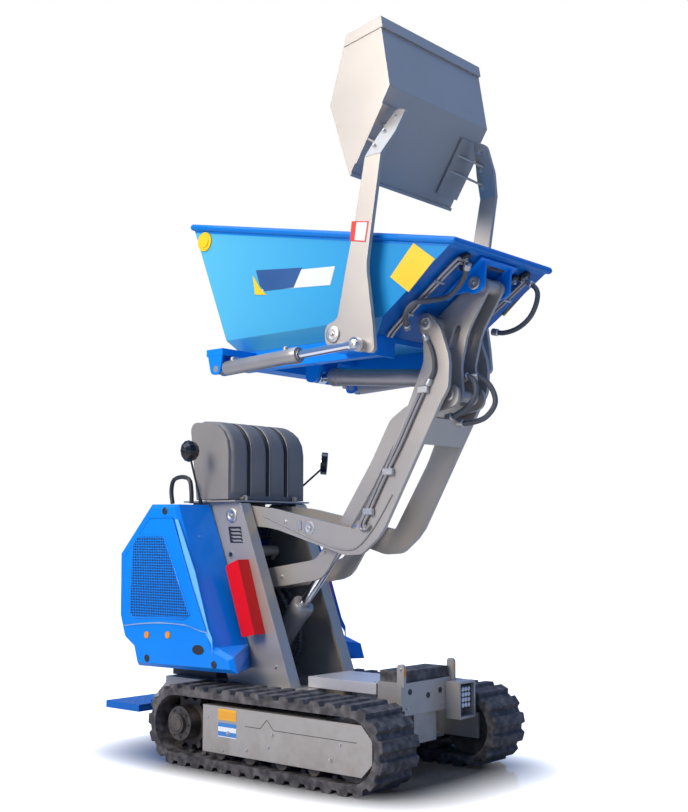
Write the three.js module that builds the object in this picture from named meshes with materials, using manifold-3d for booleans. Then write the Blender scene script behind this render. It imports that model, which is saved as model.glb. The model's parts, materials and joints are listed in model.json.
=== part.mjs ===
// Tracked mini dumper with a high-tip skip and a self-loading shovel.
// Millimetres. +X is forward, +Y is left, +Z is up. The origin lies on the ground
// in the middle of the machine's plan outline. It stands with its boom fully raised,
// its skip level and its shovel arms upright.

import * as THREE from 'three';
import { ConvexGeometry } from 'three/addons/geometries/ConvexGeometry.js';
import { mergeVertices } from 'three/addons/utils/BufferGeometryUtils.js';
import Module from 'manifold-3d';

const wasm = await Module();
wasm.setup();

// ---------------------------------------------------------------- driving sizes

const FIT = 0.3;              // gap between two pieces that are bolted or welded together
const PIN_FIT = 0.5;          // radial gap of a shaft in its bore
const SIDE_FIT = 2;           // gap beside an eye that turns between two ears

const TRACK = {
  gauge: 600,                 // between the middles of the two belts
  width: 180,                 // width of one belt
  radius: 135,                // outside radius round sprocket and idler, shoes included
  belt: 22,                   // belt without shoes
  shoe: 14,                   // height of one shoe
  shoePitch: 66,              // wanted distance between shoes
  rearX: -296,                // sprocket centre
  frontX: 491,                // idler centre
};

const FRAME = {
  plate: 13,                  // outer plate of a track frame
  inset: 5,                   // outer plate behind the belt's outer edge
  low: 62,
  high: 215,
  rearX: -156,
  frontX: 580,
  nose: 42,                   // chamfer at the front end
};

const CHASSIS = {
  halfWidth: 200,
  slot: 70,                   // half width of the slot for the lift cylinder
  floorLow: 100,
  floor: 12,
  deck: 262,                  // top of the side beams
  rearX: -560,
  frontX: 420,
};

const MAST = {
  outer: 174,                 // outer face of a side plate, from the middle
  inner: 124,                 // inner edge of the front flange
  plate: 10,
  rearX: -389,
  top: 900,
  topFrontX: -201,
  lowFrontX: 53,
  lowRearX: -250,
};

const BOOM_PIVOT = { x: -244, z: 853 };
const ARM_PIVOT = { x: -261, z: 611 };
const BOOM_TIP = { x: 594, z: 1469 };
const ARM_TIP = { x: 653, z: 1234 };
const SKIP_PIVOT = { x: 757, z: 1584 };
const LIFT_BASE = { x: -373, z: 156 };
const LIFT_EYE = { x: 168, z: 792 };
const TIP_BASE = { x: 573, z: 1300 };
const TIP_EYE = { x: 26, z: 1351 };
const LOADER_PIVOT = { x: 382, z: 1425.5 };
const LOADER_BASE = { x: -112, z: 1352.5 };
const LOADER_EYE = { x: 498, z: 1378 };
const PLATFORM_HINGE = { x: -610, z: 165 };
const HOOD_HINGE = { x: -222, z: 914 };

const SHAFT = 15;             // radius of the mast and boom pivot shafts

const BOOM = { outer: 117, plate: 15, boss: 38 };
const ARM = { outer: 78, plate: 12 };
const COUPLER = { outer: 45, plate: 12 };

const SKIP = {
  wall: 6,
  rim: 12,                    // radius of the rolled rim
  rear: { x: -354, z: 1914 }, // rim, top of the tub
  front: { x: 818, z: 1675 },
  half: 278,                  // half width at the rim, without it
  foldHalf: 270,              // at the fold line of the side walls
  foldRear: { x: -182, z: 1472 },
  foldFront: { x: 535, z: 1475 },
  floorHalf: 222,
  floorRear: { x: -157, z: 1430 },
  floorFront: { x: 473, z: 1430 },
};

const KEEL = { low: 1362, out: 222, width: 40, rearX: -157, frontX: 473 };

const LOADER = {
  outer: SKIP.half + 57,      // outer face of an arm, from the middle
  plate: 15,
  axis: SKIP.half + 84,       // middle plane of its cylinder
  fold: 1988,                 // height at which an arm is folded inwards
  lean: 0.6,                  // how far it leans inwards for each millimetre above that
};

const SHOVEL = { half: SKIP.half + 3, shell: 6, cheek: 8 };

const LIFT = { barrel: 38, rod: 18, length: 500 };
const TIP = { barrel: 29, rod: 15, length: 488 };
const LOAD = { barrel: 24, rod: 13, length: 370 };

const PANEL = { outer: 350, face: 334, inner: 178, wall: 12, bevel: 14 };

const HOOD = { half: 200, wall: 4, frontX: -238, rearX: -445, base: 910, top: 1196 };

const PLATFORM = { half: 262, rearX: -830, frontX: -636, top: 155, plate: 4, skirt: 26 };

const REST_PAD = { x0: 399, x1: 493, half: 122, z1: 347 };

// ---------------------------------------------------------------- materials

function finish(color, roughness, metalness) {
  return new THREE.MeshStandardMaterial({ color, roughness, metalness });
}

const bluePaint = finish(0x0a6fe0, 0.3, 0.0);
const greyPaint = finish(0xb9aea2, 0.45, 0.3);
const darkPlastic = finish(0x3c3d44, 0.6, 0.0);
const redPaint = finish(0xe01010, 0.35, 0.0);
const rubber = finish(0x4a4440, 0.9, 0.0);
const castSteel = finish(0x6c6a68, 0.55, 0.6);
const barrelPaint = finish(0x8e8c8f, 0.4, 0.4);
const chrome = finish(0xd8dae0, 0.12, 1.0);
const blackPaint = finish(0x202124, 0.5, 0.1);
const mirrorBlack = finish(0x101114, 0.2, 0.0);

// ---------------------------------------------------------------- solids

function solid(geometry) {
  const bare = geometry.clone();
  bare.deleteAttribute('normal');
  bare.deleteAttribute('uv');
  const merged = mergeVertices(bare.index ? bare.toNonIndexed() : bare, 1e-4);
  return new wasm.Manifold(new wasm.Mesh({
    numProp: 3,
    vertProperties: new Float32Array(merged.attributes.position.array),
    triVerts: new Uint32Array(merged.index.array),
  }));
}

function join(first, ...others) {
  return others.reduce((whole, other) => whole.add(other), first);
}

function cut(whole, ...tools) {
  return tools.reduce((rest, tool) => rest.subtract(tool), whole);
}

// Box between two opposite corners.
function box(x0, x1, y0, y1, z0, z1) {
  const geometry = new THREE.BoxGeometry(x1 - x0, y1 - y0, z1 - z0);
  return solid(geometry.translate((x0 + x1) / 2, (y0 + y1) / 2, (z0 + z1) / 2));
}

// Y range between distances a and b from the middle, on the side given as -1 or 1.
function across(side, a, b) {
  return [Math.min(side * a, side * b), Math.max(side * a, side * b)];
}

// Outline in the XZ plane, extruded along Y from y0 to y1.
function prism(points, y0, y1) {
  const shape = new THREE.Shape(points.map(([x, z]) => new THREE.Vector2(x, z)));
  const geometry = new THREE.ExtrudeGeometry(shape, { depth: y1 - y0, bevelEnabled: false });
  return solid(geometry.rotateX(Math.PI / 2).translate(0, y1, 0));
}

// Round bar along Y at (at.x, at.z).
function crossBar(at, radius, y0, y1, sides = 20) {
  const geometry = new THREE.CylinderGeometry(radius, radius, y1 - y0, sides);
  return solid(geometry.translate(at.x, (y0 + y1) / 2, at.z));
}

// Round bar between two points.
function bar(from, to, radius, sides = 16) {
  const a = new THREE.Vector3(...from);
  const b = new THREE.Vector3(...to);
  const way = b.clone().sub(a);
  const geometry = new THREE.CylinderGeometry(radius, radius, way.length(), sides);
  const turn = new THREE.Quaternion().setFromUnitVectors(
    new THREE.Vector3(0, 1, 0), way.clone().normalize());
  geometry.applyQuaternion(turn);
  const middle = a.add(b).multiplyScalar(0.5);
  return solid(geometry.translate(middle.x, middle.y, middle.z));
}

function ball(at, radius, segments = 16) {
  const geometry = new THREE.SphereGeometry(radius, segments, segments / 2);
  return solid(geometry.translate(...at));
}

// Round tube along a smooth curve through the given points.
function bentBar(points, radius, steps, sides = 10) {
  const curve = new THREE.CatmullRomCurve3(points.map((p) => new THREE.Vector3(...p)));
  const section = new THREE.Shape();
  section.absarc(0, 0, radius, 0, 2 * Math.PI, false);
  const ring = new THREE.Shape(section.getPoints(sides).slice(0, -1));
  return solid(new THREE.ExtrudeGeometry(ring, { steps, extrudePath: curve, bevelEnabled: false }));
}

// Closed skin over rings that have equally many points, capped at both ends.
function loft(rings) {
  const count = rings[0].length;
  const flat = rings.flat(2);
  const faces = [];
  for (let k = 0; k + 1 < rings.length; k += 1) {
    for (let i = 0; i < count; i += 1) {
      const j = (i + 1) % count;
      const low = k * count;
      const high = low + count;
      faces.push(low + i, low + j, high + j, low + i, high + j, high + i);
    }
  }
  const contour = rings[0].map(([x, , z]) => new THREE.Vector2(x, z));
  const last = (rings.length - 1) * count;
  for (const [a, b, c] of THREE.ShapeUtils.triangulateShape(contour, [])) {
    faces.push(a, c, b, last + a, last + b, last + c);
  }
  const geometry = new THREE.BufferGeometry();
  geometry.setAttribute('position', new THREE.Float32BufferAttribute(flat, 3));
  geometry.setIndex(faces);
  const whole = solid(geometry);
  if (whole.volume() > 0) return whole;
  geometry.setIndex(faces.map((_, n) => faces[n - (n % 3) + 2 - (n % 3)]));
  return solid(geometry);
}

// Outline with each corner [x, z, radius] rounded by an arc.
function rounded(corners, step = Math.PI / 7) {
  const points = [];
  corners.forEach(([x, z, radius = 0], i) => {
    const [px, pz] = corners[(i + corners.length - 1) % corners.length];
    const [nx, nz] = corners[(i + 1) % corners.length];
    const here = new THREE.Vector2(x, z);
    const back = new THREE.Vector2(px, pz).sub(here);
    const ahead = new THREE.Vector2(nx, nz).sub(here);
    const half = Math.acos(back.clone().normalize().dot(ahead.clone().normalize())) / 2;
    const reach = Math.min(radius / Math.tan(half), back.length() * 0.48, ahead.length() * 0.48);
    if (radius <= 0 || reach < 0.5) {
      points.push([x, z]);
      return;
    }
    const r = reach * Math.tan(half);
    const middle = back.clone().normalize().add(ahead.clone().normalize()).normalize()
      .multiplyScalar(r / Math.sin(half)).add(here);
    const start = back.normalize().multiplyScalar(reach).add(here).sub(middle);
    const end = ahead.normalize().multiplyScalar(reach).add(here).sub(middle);
    let sweep = end.angle() - start.angle();
    if (sweep > Math.PI) sweep -= 2 * Math.PI;
    if (sweep < -Math.PI) sweep += 2 * Math.PI;
    const pieces = Math.max(1, Math.ceil(Math.abs(sweep) / step));
    for (let k = 0; k <= pieces; k += 1) {
      const angle = start.angle() + (sweep * k) / pieces;
      points.push([middle.x + r * Math.cos(angle), middle.y + r * Math.sin(angle)]);
    }
  });
  return points;
}

// Outline whose edges are moved inwards, each by its own distance.
function inset(points, distances) {
  const count = points.length;
  const area = points.reduce((sum, [x, z], i) => {
    const [nx, nz] = points[(i + 1) % count];
    return sum + x * nz - nx * z;
  }, 0);
  const side = Math.sign(area);
  const lines = points.map(([x, z], i) => {
    const [nx, nz] = points[(i + 1) % count];
    const length = Math.hypot(nx - x, nz - z);
    const d = Array.isArray(distances) ? distances[i] : distances;
    const ux = (nx - x) / length;
    const uz = (nz - z) / length;
    return { x: x - side * uz * d, z: z + side * ux * d, ux, uz };
  });
  return lines.map((line, i) => {
    const before = lines[(i + count - 1) % count];
    const cross = before.ux * line.uz - before.uz * line.ux;
    const t = ((line.x - before.x) * line.uz - (line.z - before.z) * line.ux) / cross;
    return [before.x + before.ux * t, before.z + before.uz * t];
  });
}

function mirrored(shape) {
  return shape.mirror([0, 1, 0]);
}

const model = new THREE.Group();

function add(name, shape, material) {
  const raw = shape.getMesh();
  const geometry = new THREE.BufferGeometry();
  geometry.setAttribute('position', new THREE.Float32BufferAttribute(raw.vertProperties, 3));
  geometry.setIndex(Array.from(raw.triVerts));
  geometry.computeVertexNormals();
  const mesh = new THREE.Mesh(geometry, material);
  mesh.name = name;
  model.add(mesh);
}

function addPair(name, rightSolid, material) {
  add(`${name}_right`, rightSolid, material);
  add(`${name}_left`, mirrored(rightSolid), material);
}

function along(from, to, distance) {
  const length = Math.hypot(to.x - from.x, to.z - from.z);
  return {
    x: from.x + ((to.x - from.x) * distance) / length,
    z: from.z + ((to.z - from.z) * distance) / length,
  };
}

// ---------------------------------------------------------------- undercarriage

const belt = {
  outerY: -(TRACK.gauge + TRACK.width) / 2,
  innerY: -(TRACK.gauge - TRACK.width) / 2,
  middleY: -TRACK.gauge / 2,
  inside: TRACK.radius - TRACK.belt - TRACK.shoe,
};

// Point on a loop of given radius round sprocket and idler, at a distance along it.
function loopPoint(distance, radius) {
  const run = TRACK.frontX - TRACK.rearX;
  const bend = Math.PI * TRACK.radius;
  const total = 2 * (run + bend);
  let s = ((distance % total) + total) % total;
  if (s < run) return [TRACK.rearX + s, TRACK.radius - radius];
  s -= run;
  if (s < bend) {
    const angle = -Math.PI / 2 + s / TRACK.radius;
    return [TRACK.frontX + radius * Math.cos(angle), TRACK.radius + radius * Math.sin(angle)];
  }
  s -= bend;
  if (s < run) return [TRACK.frontX - s, TRACK.radius + radius];
  const angle = Math.PI / 2 + (s - run) / TRACK.radius;
  return [TRACK.rearX + radius * Math.cos(angle), TRACK.radius + radius * Math.sin(angle)];
}

function track() {
  const total = 2 * (TRACK.frontX - TRACK.rearX + Math.PI * TRACK.radius);
  const count = Math.round(total / TRACK.shoePitch);
  const pitch = total / count;
  const root = TRACK.radius - TRACK.shoe;
  const outside = [];
  for (let i = 0; i < count; i += 1) {
    outside.push(loopPoint((i + 0.0) * pitch, root));
    outside.push(loopPoint((i + 0.28) * pitch, root));
    outside.push(loopPoint((i + 0.40) * pitch, TRACK.radius));
    outside.push(loopPoint((i + 0.88) * pitch, TRACK.radius));
  }
  const inside = [];
  const steps = 28;
  for (let i = 0; i < steps; i += 1) {
    const half = i < steps / 2;
    const angle = -Math.PI / 2 + (Math.PI * (half ? i : i - steps / 2)) / (steps / 2 - 1);
    const centre = half ? TRACK.frontX : TRACK.rearX;
    const turn = half ? angle : angle + Math.PI;
    inside.push([
      centre + belt.inside * Math.cos(turn),
      TRACK.radius + belt.inside * Math.sin(turn),
    ]);
  }
  const loop = cut(
    prism(outside, belt.outerY, belt.innerY),
    prism(inside, belt.outerY - 1, belt.innerY + 1),
  );
  addPair('track', loop, rubber);
}

function trackFrame() {
  const outerY = belt.outerY + FRAME.inset;
  const plateIn = outerY + FRAME.plate;
  const backY = belt.innerY - 18;
  const { low, high, rearX, frontX, nose } = FRAME;
  const plate = prism([
    [rearX, low], [frontX - nose, low], [frontX, low + nose],
    [frontX, high - nose], [frontX - nose, high], [rearX, high],
  ], outerY, plateIn);
  const beamEnd = TRACK.frontX - belt.inside - 14;
  const beam = box(rearX, beamEnd, plateIn - 1, backY, 100, high);
  const inner = box(beamEnd - 1, TRACK.frontX + 50, backY - 12, backY, 100, high - 30);
  const axle = crossBar({ x: TRACK.frontX, z: TRACK.radius }, SHAFT, plateIn - 1, backY - 1);
  addPair('track_frame', join(plate, beam, inner, axle), greyPaint);
}

function idler() {
  const at = { x: TRACK.frontX, z: TRACK.radius };
  const y0 = belt.outerY + FRAME.inset + FRAME.plate + 8;
  const y1 = belt.innerY - 40;
  const rim = belt.inside - 2;
  const wheel = cut(
    crossBar(at, rim, y0, y1, 40),
    crossBar(at, SHAFT + PIN_FIT, y0 - 1, y1 + 1),
    cut(crossBar(at, rim - 16, y0 - 1, y0 + 22, 32), crossBar(at, 32, y0 - 2, y0 + 23)),
  );
  addPair('idler', wheel, castSteel);
}

function sprocket() {
  const at = { x: TRACK.rearX, z: TRACK.radius };
  const teeth = 12;
  const outline = [];
  for (let i = 0; i < teeth; i += 1) {
    const a = (i * 2 * Math.PI) / teeth;
    const steps = [[-0.3, 78], [-0.14, belt.inside - 3], [0.14, belt.inside - 3], [0.3, 78]];
    for (const [part, radius] of steps) {
      const turn = a + (part * 2 * Math.PI) / teeth;
      outline.push([at.x + radius * Math.cos(turn), at.z + radius * Math.sin(turn)]);
    }
  }
  const wheel = prism(outline, belt.middleY - 16, belt.middleY + 16);
  const drum = crossBar(at, 58, belt.outerY + 24, belt.middleY + 40, 32);
  const cap = crossBar(at, 34, belt.outerY + 10, belt.outerY + 30, 24);
  addPair('sprocket', join(wheel, drum, cap), castSteel);
}

function trackRollers() {
  const y0 = belt.outerY + FRAME.inset + FRAME.plate + 6;
  const y1 = belt.innerY - 40;
  const radius = 27;
  const floor = TRACK.radius - belt.inside;
  const z = floor + radius + 1;
  const spots = [-90, 50, 190, 330];
  const rail = box(spots[0], spots[3], belt.middleY - 8, belt.middleY + 8, z - 8, z + 8);
  const wheels = spots.map((x) => crossBar({ x, z }, radius, y0, y1, 20));
  addPair('track_rollers', join(rail, ...wheels), castSteel);
}

function chassis() {
  const { halfWidth, slot, floorLow, floor, deck, rearX, frontX } = CHASSIS;
  const base = box(rearX, frontX, -halfWidth, halfWidth, floorLow, floorLow + floor);
  const beams = [-1, 1].map((side) => {
    const [y0, y1] = side < 0 ? [-halfWidth, -slot] : [slot, halfWidth];
    return box(rearX, 120, y0, y1, floorLow + floor - 1, deck);
  });
  const rear = box(rearX, -470, -halfWidth, halfWidth, floorLow + floor - 1, deck);
  const reach = -belt.innerY + 18 - FIT;
  const axles = [-80, 300].map((x) => box(x - 45, x + 45, -reach, reach, floorLow + 2, 178));
  const motors = crossBar({ x: TRACK.rearX, z: TRACK.radius }, 46,
    belt.middleY + 40 + FIT, -belt.middleY - 40 - FIT, 28);
  const motorRoom = box(-360, -230, -slot, slot, floorLow + floor, deck);
  const ears = [-1, 1].map((side) => {
    const y = side * 56;
    const ear = prism(rounded([[-430, 108], [-318, 108], [-340, 196, 34], [-408, 196, 34]]), y - 7, y + 7);
    return cut(ear, crossBar(LIFT_BASE, SHAFT + PIN_FIT, y - 9, y + 9));
  });
  const { x, z } = PLATFORM_HINGE;
  const hangers = [-1, 1].map((side) => {
    const y = side * 190;
    const arm = prism(rounded([[-500, 140], [-500, 245], [-556, 245], [x - 16, z + 16, 14],
      [x - 16, z - 16, 14]]), y - 8, y + 8);
    return cut(arm, crossBar(PLATFORM_HINGE, 6 + PIN_FIT, y - 9, y + 9));
  });
  const body = join(base, ...beams, rear, ...axles, cut(motors, motorRoom), ...ears, ...hangers);
  add('chassis_frame', body, greyPaint);
}

function frontBox() {
  const plate = prism([[392, 208], [502, 208], [502, 311], [392, 311]], -125, 125);
  const room = box(404, 490, -113, 113, 200, 299);
  const foot = box(404, 490, -60, 60, CHASSIS.floorLow + CHASSIS.floor + FIT, 209);
  const lugs = [-1, 1].map((side) => prism(
    rounded([[484, 300], [512, 300], [512, 372, 12], [484, 372, 12]]), side * 136 - 6, side * 136 + 6));
  const arms = [-1, 1].map((side) => box(484, 502, ...across(side, 124, 142), 225, 311));
  add('front_crossmember', join(cut(plate, room), foot, ...lugs, ...arms), greyPaint);
  add('rest_pad', box(REST_PAD.x0, REST_PAD.x1, -REST_PAD.half, REST_PAD.half,
    311 + FIT, REST_PAD.z1), rubber);
}

function lampBox() {
  const back = 502 + FIT;
  const shell = cut(box(back, 560, 95, 187, 178, 299), box(back + 8, 561, 102, 180, 186, 292));
  add('lamp_housing', shell, greyPaint);
  const stalk = box(back + 8 + FIT, 531, 139, 155, 238, 254);
  add('headlamp', join(box(530, 548, 118, 176, 208, 284), stalk), blackPaint);
}

function deckBox() {
  const lid = box(73, 373, -110, 110, 264, 300);
  add('deck_box', join(lid, box(250, 350, -60, 60, 178 + FIT, 265)), greyPaint);
}

// ---------------------------------------------------------------- mast and body

function mast() {
  const { outer, inner, plate, rearX, top, topFrontX, lowFrontX, lowRearX } = MAST;
  const foot = CHASSIS.deck + FIT;
  const side = prism(rounded([
    [lowRearX, foot], [lowFrontX, foot], [topFrontX, top, 20], [rearX, top, 20], [rearX, 540, 40],
  ]), -outer, -outer + plate);
  const flange = prism([
    [lowFrontX - plate - 3, foot], [lowFrontX, foot], [topFrontX, top - 4], [topFrontX - plate - 3, top - 4],
  ], -outer, -inner);
  const bosses = [BOOM_PIVOT, ARM_PIVOT].map((at) => crossBar(at, 32, -outer + 1, -inner - 1));
  const bores = [BOOM_PIVOT, ARM_PIVOT].map((at) => crossBar(at, SHAFT + PIN_FIT, -outer + 8, -inner + 2));
  addPair('mast', cut(join(side, flange, ...bosses), ...bores), greyPaint);
}

function engine() {
  add('engine_block', box(-580, -345, -148, 148, CHASSIS.deck + FIT, 735), blackPaint);
}

const panelRear = [[-495, 893], [-661, 719], [-659, 488], [-630, 407], [-577, 375], [-555, 311]];
const panelFront = [[-150, 400], [-352, 891]];
const panelFlare = [[-44, 318], [-62, 372]];      // lower front corner on the outer face
const panelFoot = [[-142, 318], [-146, 372]];     // the same corner beside the mast

function sidePanel() {
  const { outer, face, inner, wall, bevel } = PANEL;
  const wide = [...panelRear, ...panelFlare, ...panelFront];
  const narrow = [...panelRear, ...panelFoot, ...panelFront];
  const ring = (points, y) => points.map(([x, z]) => [x, y, z]);
  const shell = loft([ring(inset(wide, bevel), -outer), ring(wide, -face), ring(narrow, -inner)]);
  const room = loft([
    ring(inset(wide, bevel + wall * 0.6), -outer + wall),
    ring(inset(wide, wall), -face + wall * 0.4),
    ring(inset(narrow, wall), -inner + 1),
  ]);
  addPair('side_panel', cut(shell, room), bluePaint);
}

function rearPanel() {
  const half = PANEL.inner - FIT;
  const plate = prism([[-495, 893], [-661, 719], [-659, 488], [-630, 407],
    [-619, 409], [-648, 490], [-650, 714], [-490, 881]], -half, half);
  add('rear_panel', plate, bluePaint);
}

function console() {
  const half = PANEL.inner - FIT;
  const tray = box(-478, -205, -half - 20, half + 20, 901, 907);
  const well = box(-470, -400, -half + 20, half - 20, 860, 902);
  const { x, z } = HOOD_HINGE;
  const ears = [-1, 1].map((side) => {
    const ear = prism(rounded([[x - 8, 902], [x + 12, 902], [x + 12, z + 12, 8], [x - 8, z + 12, 8]]),
      side * 131 - 3, side * 131 + 3);
    return cut(ear, crossBar(HOOD_HINGE, 5 + PIN_FIT, side * 131 - 4, side * 131 + 4));
  });
  add('console', join(tray, well, ...ears), greyPaint);
}

function hood() {
  const { half, wall, frontX, rearX, base, top } = HOOD;
  const corners = [[frontX, base], [frontX, top - 12], [rearX, top + 4], [rearX + 40, base]];
  const radii = [0, 190, 30, 0];
  const within = inset(corners, [wall, wall, wall, -40]);
  const shell = prism(rounded(corners.map((p, i) => [...p, radii[i]])), -half, half);
  const room = prism(rounded(within.map((p, i) => [...p, Math.max(0, radii[i] - wall)])),
    -half + wall, half - wall);
  const { x, z } = HOOD_HINGE;
  const lugs = [-1, 1].map((side) => join(
    box(frontX - 1, x + 4, side * 139 - 3, side * 139 + 3, z - 4, z + 7),
    crossBar(HOOD_HINGE, 5, ...across(side, 128, 140)),
  ));
  add('hood', join(cut(shell, room), ...lugs), darkPlastic);
}

function mirrors() {
  const right = join(
    bar([-360, -222, 893.3], [-360, -222, 912], 7, 12),
    bar([-360, -222, 906], [-348, -288, 1068], 4, 8),
    ball([-352, -290, 1084], 40, 12),
  );
  add('mirror_right', cut(right, box(-420, -352, -360, -220, 1030, 1140)), mirrorBlack);
  const left = join(
    bar([-362, 222, 893.3], [-362, 222, 912], 7, 12),
    bar([-362, 222, 906], [-246, 318, 1042], 4, 8),
    bar([-253, 321, 1063], [-235, 336, 1061], 44, 20),
  );
  add('mirror_left', left, mirrorBlack);
}

function grabHandles() {
  const y = -240;
  const points = [
    [-492, y, 897], [-500, y, 945], [-490, y, 982], [-464, y, 993], [-424, y, 993], [-400, y, 982],
    [-390, y, 945], [-388, y, 897],
  ];
  addPair('grab_handle', bentBar(points, 8, 20, 4), blackPaint);
}

function safetyProps() {
  const y = -MAST.outer;
  const web = rounded([[-220, 673, 14], [-157, 696, 0], [-71, 440, 0], [-132, 428, 8]]);
  const channel = join(
    prism(web, y - 54, y - 49),
    prism([[-204, 679], [-157, 696], [-154, 687], [-201, 670]], y - 50, y - FIT),
    prism([[-157, 696], [-71, 440], [-80, 438], [-166, 693]], y - 50, y - FIT),
  );
  addPair('safety_prop', channel, redPaint);
}

function platform() {
  const { half, rearX, frontX, top, plate, skirt } = PLATFORM;
  const deck = box(rearX, frontX, -half, half, top - plate, top);
  const edges = [
    box(rearX, rearX + plate, -half, half, top - skirt, top - 1),
    box(rearX, frontX - 4, -half, -half + plate, top - skirt, top - 1),
    box(rearX, frontX - 4, half - plate, half, top - skirt, top - 1),
    box(frontX - 6, frontX - 2, -half, half, top - skirt, top - 1),
  ];
  const { x, z } = PLATFORM_HINGE;
  const ears = [-1, 1].map((side) => join(
    prism(rounded([[frontX - 40, top - 3], [x + 12, z - 12, 10], [x + 12, z + 12, 10],
      [x - 12, z + 12, 10], [frontX - 40, top + 3]]), side * 170 - 5, side * 170 + 5),
    crossBar(PLATFORM_HINGE, 6, ...across(side, 168, 197)),
  ));
  add('platform', join(deck, ...edges, ...ears), bluePaint);
}

// ---------------------------------------------------------------- lifting linkage

const boomOutline = rounded([
  [-283, 896, 38], [-95, 877, 300], [289, 801, 14], [432, 1027, 200], [581, 1342, 70],
  [579, 1420, 60], [554, 1476, 29], [601, 1509, 29], [648, 1446, 50], [683, 1345, 90], [678, 1250, 60],
  [650, 1212, 26], [403, 785, 120], [318, 718, 60], [244, 714, 60], [-90, 806, 300], [-283, 822, 38],
]);

const armOutline = rounded([
  [-298, 640, 34], [78, 697, 60], [200, 845, 300], [330, 1030, 300], [410, 1165, 60],
  [470, 1202, 60], [560, 1242, 120], [690, 1271, 34], [690, 1198, 34], [600, 1180, 60],
  [493, 1163, 50], [427, 1085, 150], [335, 941, 300], [200, 757, 150], [110, 630, 90],
  [-60, 604, 200], [-298, 577, 34],
]);

// Straight front edge of the boom's leg, and a plate lying just inside it.
const boomEdge = { x: 571, z: 1074, ux: 0.5, uz: 0.866 };

function edgePlate(edge, from, to, depth, y0, y1) {
  const corner = (s, out) => [
    edge.x + edge.ux * s - edge.uz * out,
    edge.z + edge.uz * s + edge.ux * out,
  ];
  return prism([corner(from, 1), corner(to, 1), corner(to, depth), corner(from, depth)], y0, y1);
}

function boom() {
  const { outer, plate, boss } = BOOM;
  const inside = outer - plate;
  const plates = [-1, 1].map((side) => (side < 0
    ? prism(boomOutline, -outer, -inside) : prism(boomOutline, inside, outer)));
  const bores = crossBar(BOOM_TIP, SHAFT + PIN_FIT, -outer - 20, outer + 20);
  const tube = crossBar(BOOM_PIVOT, 28, -inside - 1, inside + 1);
  const collars = crossBar(BOOM_PIVOT, 26, -MAST.inner + 2, MAST.inner - 2);
  const shaft = crossBar(BOOM_PIVOT, SHAFT, -MAST.outer + 10, MAST.outer - 10);
  const brace = edgePlate(boomEdge, 0, 96, 11, -inside - 1, inside + 1);
  const bosses = [-1, 1].map((side) => (side < 0
    ? crossBar(BOOM_TIP, boss - 8, -outer - 6, -outer + 1)
    : crossBar(BOOM_TIP, boss - 8, outer - 1, outer + 6)));
  add('boom', cut(join(...plates, tube, collars, shaft, brace, ...bosses), bores), greyPaint);
}

function lowerArm() {
  const { outer, plate } = ARM;
  const inside = outer - plate;
  const plates = [-1, 1].map((side) => (side < 0
    ? prism(armOutline, -outer, -inside) : prism(armOutline, inside, outer)));
  const tube = crossBar(ARM_PIVOT, 28, -inside - 1, inside + 1);
  const collars = crossBar(ARM_PIVOT, 24, -MAST.inner + 2, MAST.inner - 2);
  const shaft = crossBar(ARM_PIVOT, SHAFT, -MAST.outer + 10, MAST.outer - 10);
  const stays = [
    edgePlate({ x: 259, z: 836, ux: 0.589, uz: 0.808 }, -5, 105, 12, -inside - 1, inside + 1),
  ];
  const ears = [-1, 1].map((side) => {
    const y0 = side < 0 ? -inside - 1 : 24 + SIDE_FIT;
    const y1 = side < 0 ? -24 - SIDE_FIT : inside + 1;
    return crossBar(LIFT_EYE, 22, y0, y1);
  });
  add('lower_arm', join(...plates, tube, collars, shaft, ...stays, ...ears), greyPaint);
}

function coupler() {
  const { outer, plate } = COUPLER;
  const outline = rounded([
    [763, 1621, 27], [794, 1577, 27], [706, 1440, 120], [678, 1330, 60],
    [684, 1206, 29], [626, 1204, 29], [545, 1276, 26], [552, 1330, 26], [602, 1400, 80],
    [558, 1450, 30], [554, 1474, 26], [620, 1521, 200],
  ]);
  const slotMiddle = { x: 655, z: 1425 };
  const lean = { x: 0.34, z: 0.94 };
  const windowEnds = [-26, 26].map((t) => ({
    x: slotMiddle.x + lean.x * t, z: slotMiddle.z + lean.z * t,
  }));
  const windows = windowEnds.map((at) => crossBar(at, 15, -outer - 1, outer + 1, 12));
  const normal = { x: lean.z * 15, z: -lean.x * 15 };
  const [low, high] = windowEnds;
  const middle = prism([
    [low.x - normal.x, low.z - normal.z], [low.x + normal.x, low.z + normal.z],
    [high.x + normal.x, high.z + normal.z], [high.x - normal.x, high.z - normal.z],
  ], -outer - 1, outer + 1);
  const plates = [-1, 1].map((side) => cut(
    prism(outline, side < 0 ? -outer : outer - plate, side < 0 ? -outer + plate : outer),
    ...windows, middle, crossBar(TIP_BASE, SHAFT + PIN_FIT, -outer - 1, outer + 1)));
  const inside = BOOM.outer - BOOM.plate - 3;
  const tubes = [
    crossBar(BOOM_TIP, 22, -inside, inside),
    crossBar(BOOM_TIP, SHAFT, -BOOM.outer + 1, BOOM.outer - 1),
    crossBar(ARM_TIP, 20, -ARM.outer + ARM.plate + SIDE_FIT, ARM.outer - ARM.plate - SIDE_FIT),
    cut(crossBar(TIP_BASE, 24, -outer + 1, -22), crossBar(TIP_BASE, SHAFT + PIN_FIT, -outer - 1, -20)),
    cut(crossBar(TIP_BASE, 24, 22, outer - 1), crossBar(TIP_BASE, SHAFT + PIN_FIT, 20, outer + 1)),
    crossBar(SKIP_PIVOT, 24, -64, 64),
    crossBar(SKIP_PIVOT, 12, -84, 84),
  ];
  add('coupler', join(...plates, ...tubes), greyPaint);
}

// ---------------------------------------------------------------- hydraulic cylinders

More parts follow.
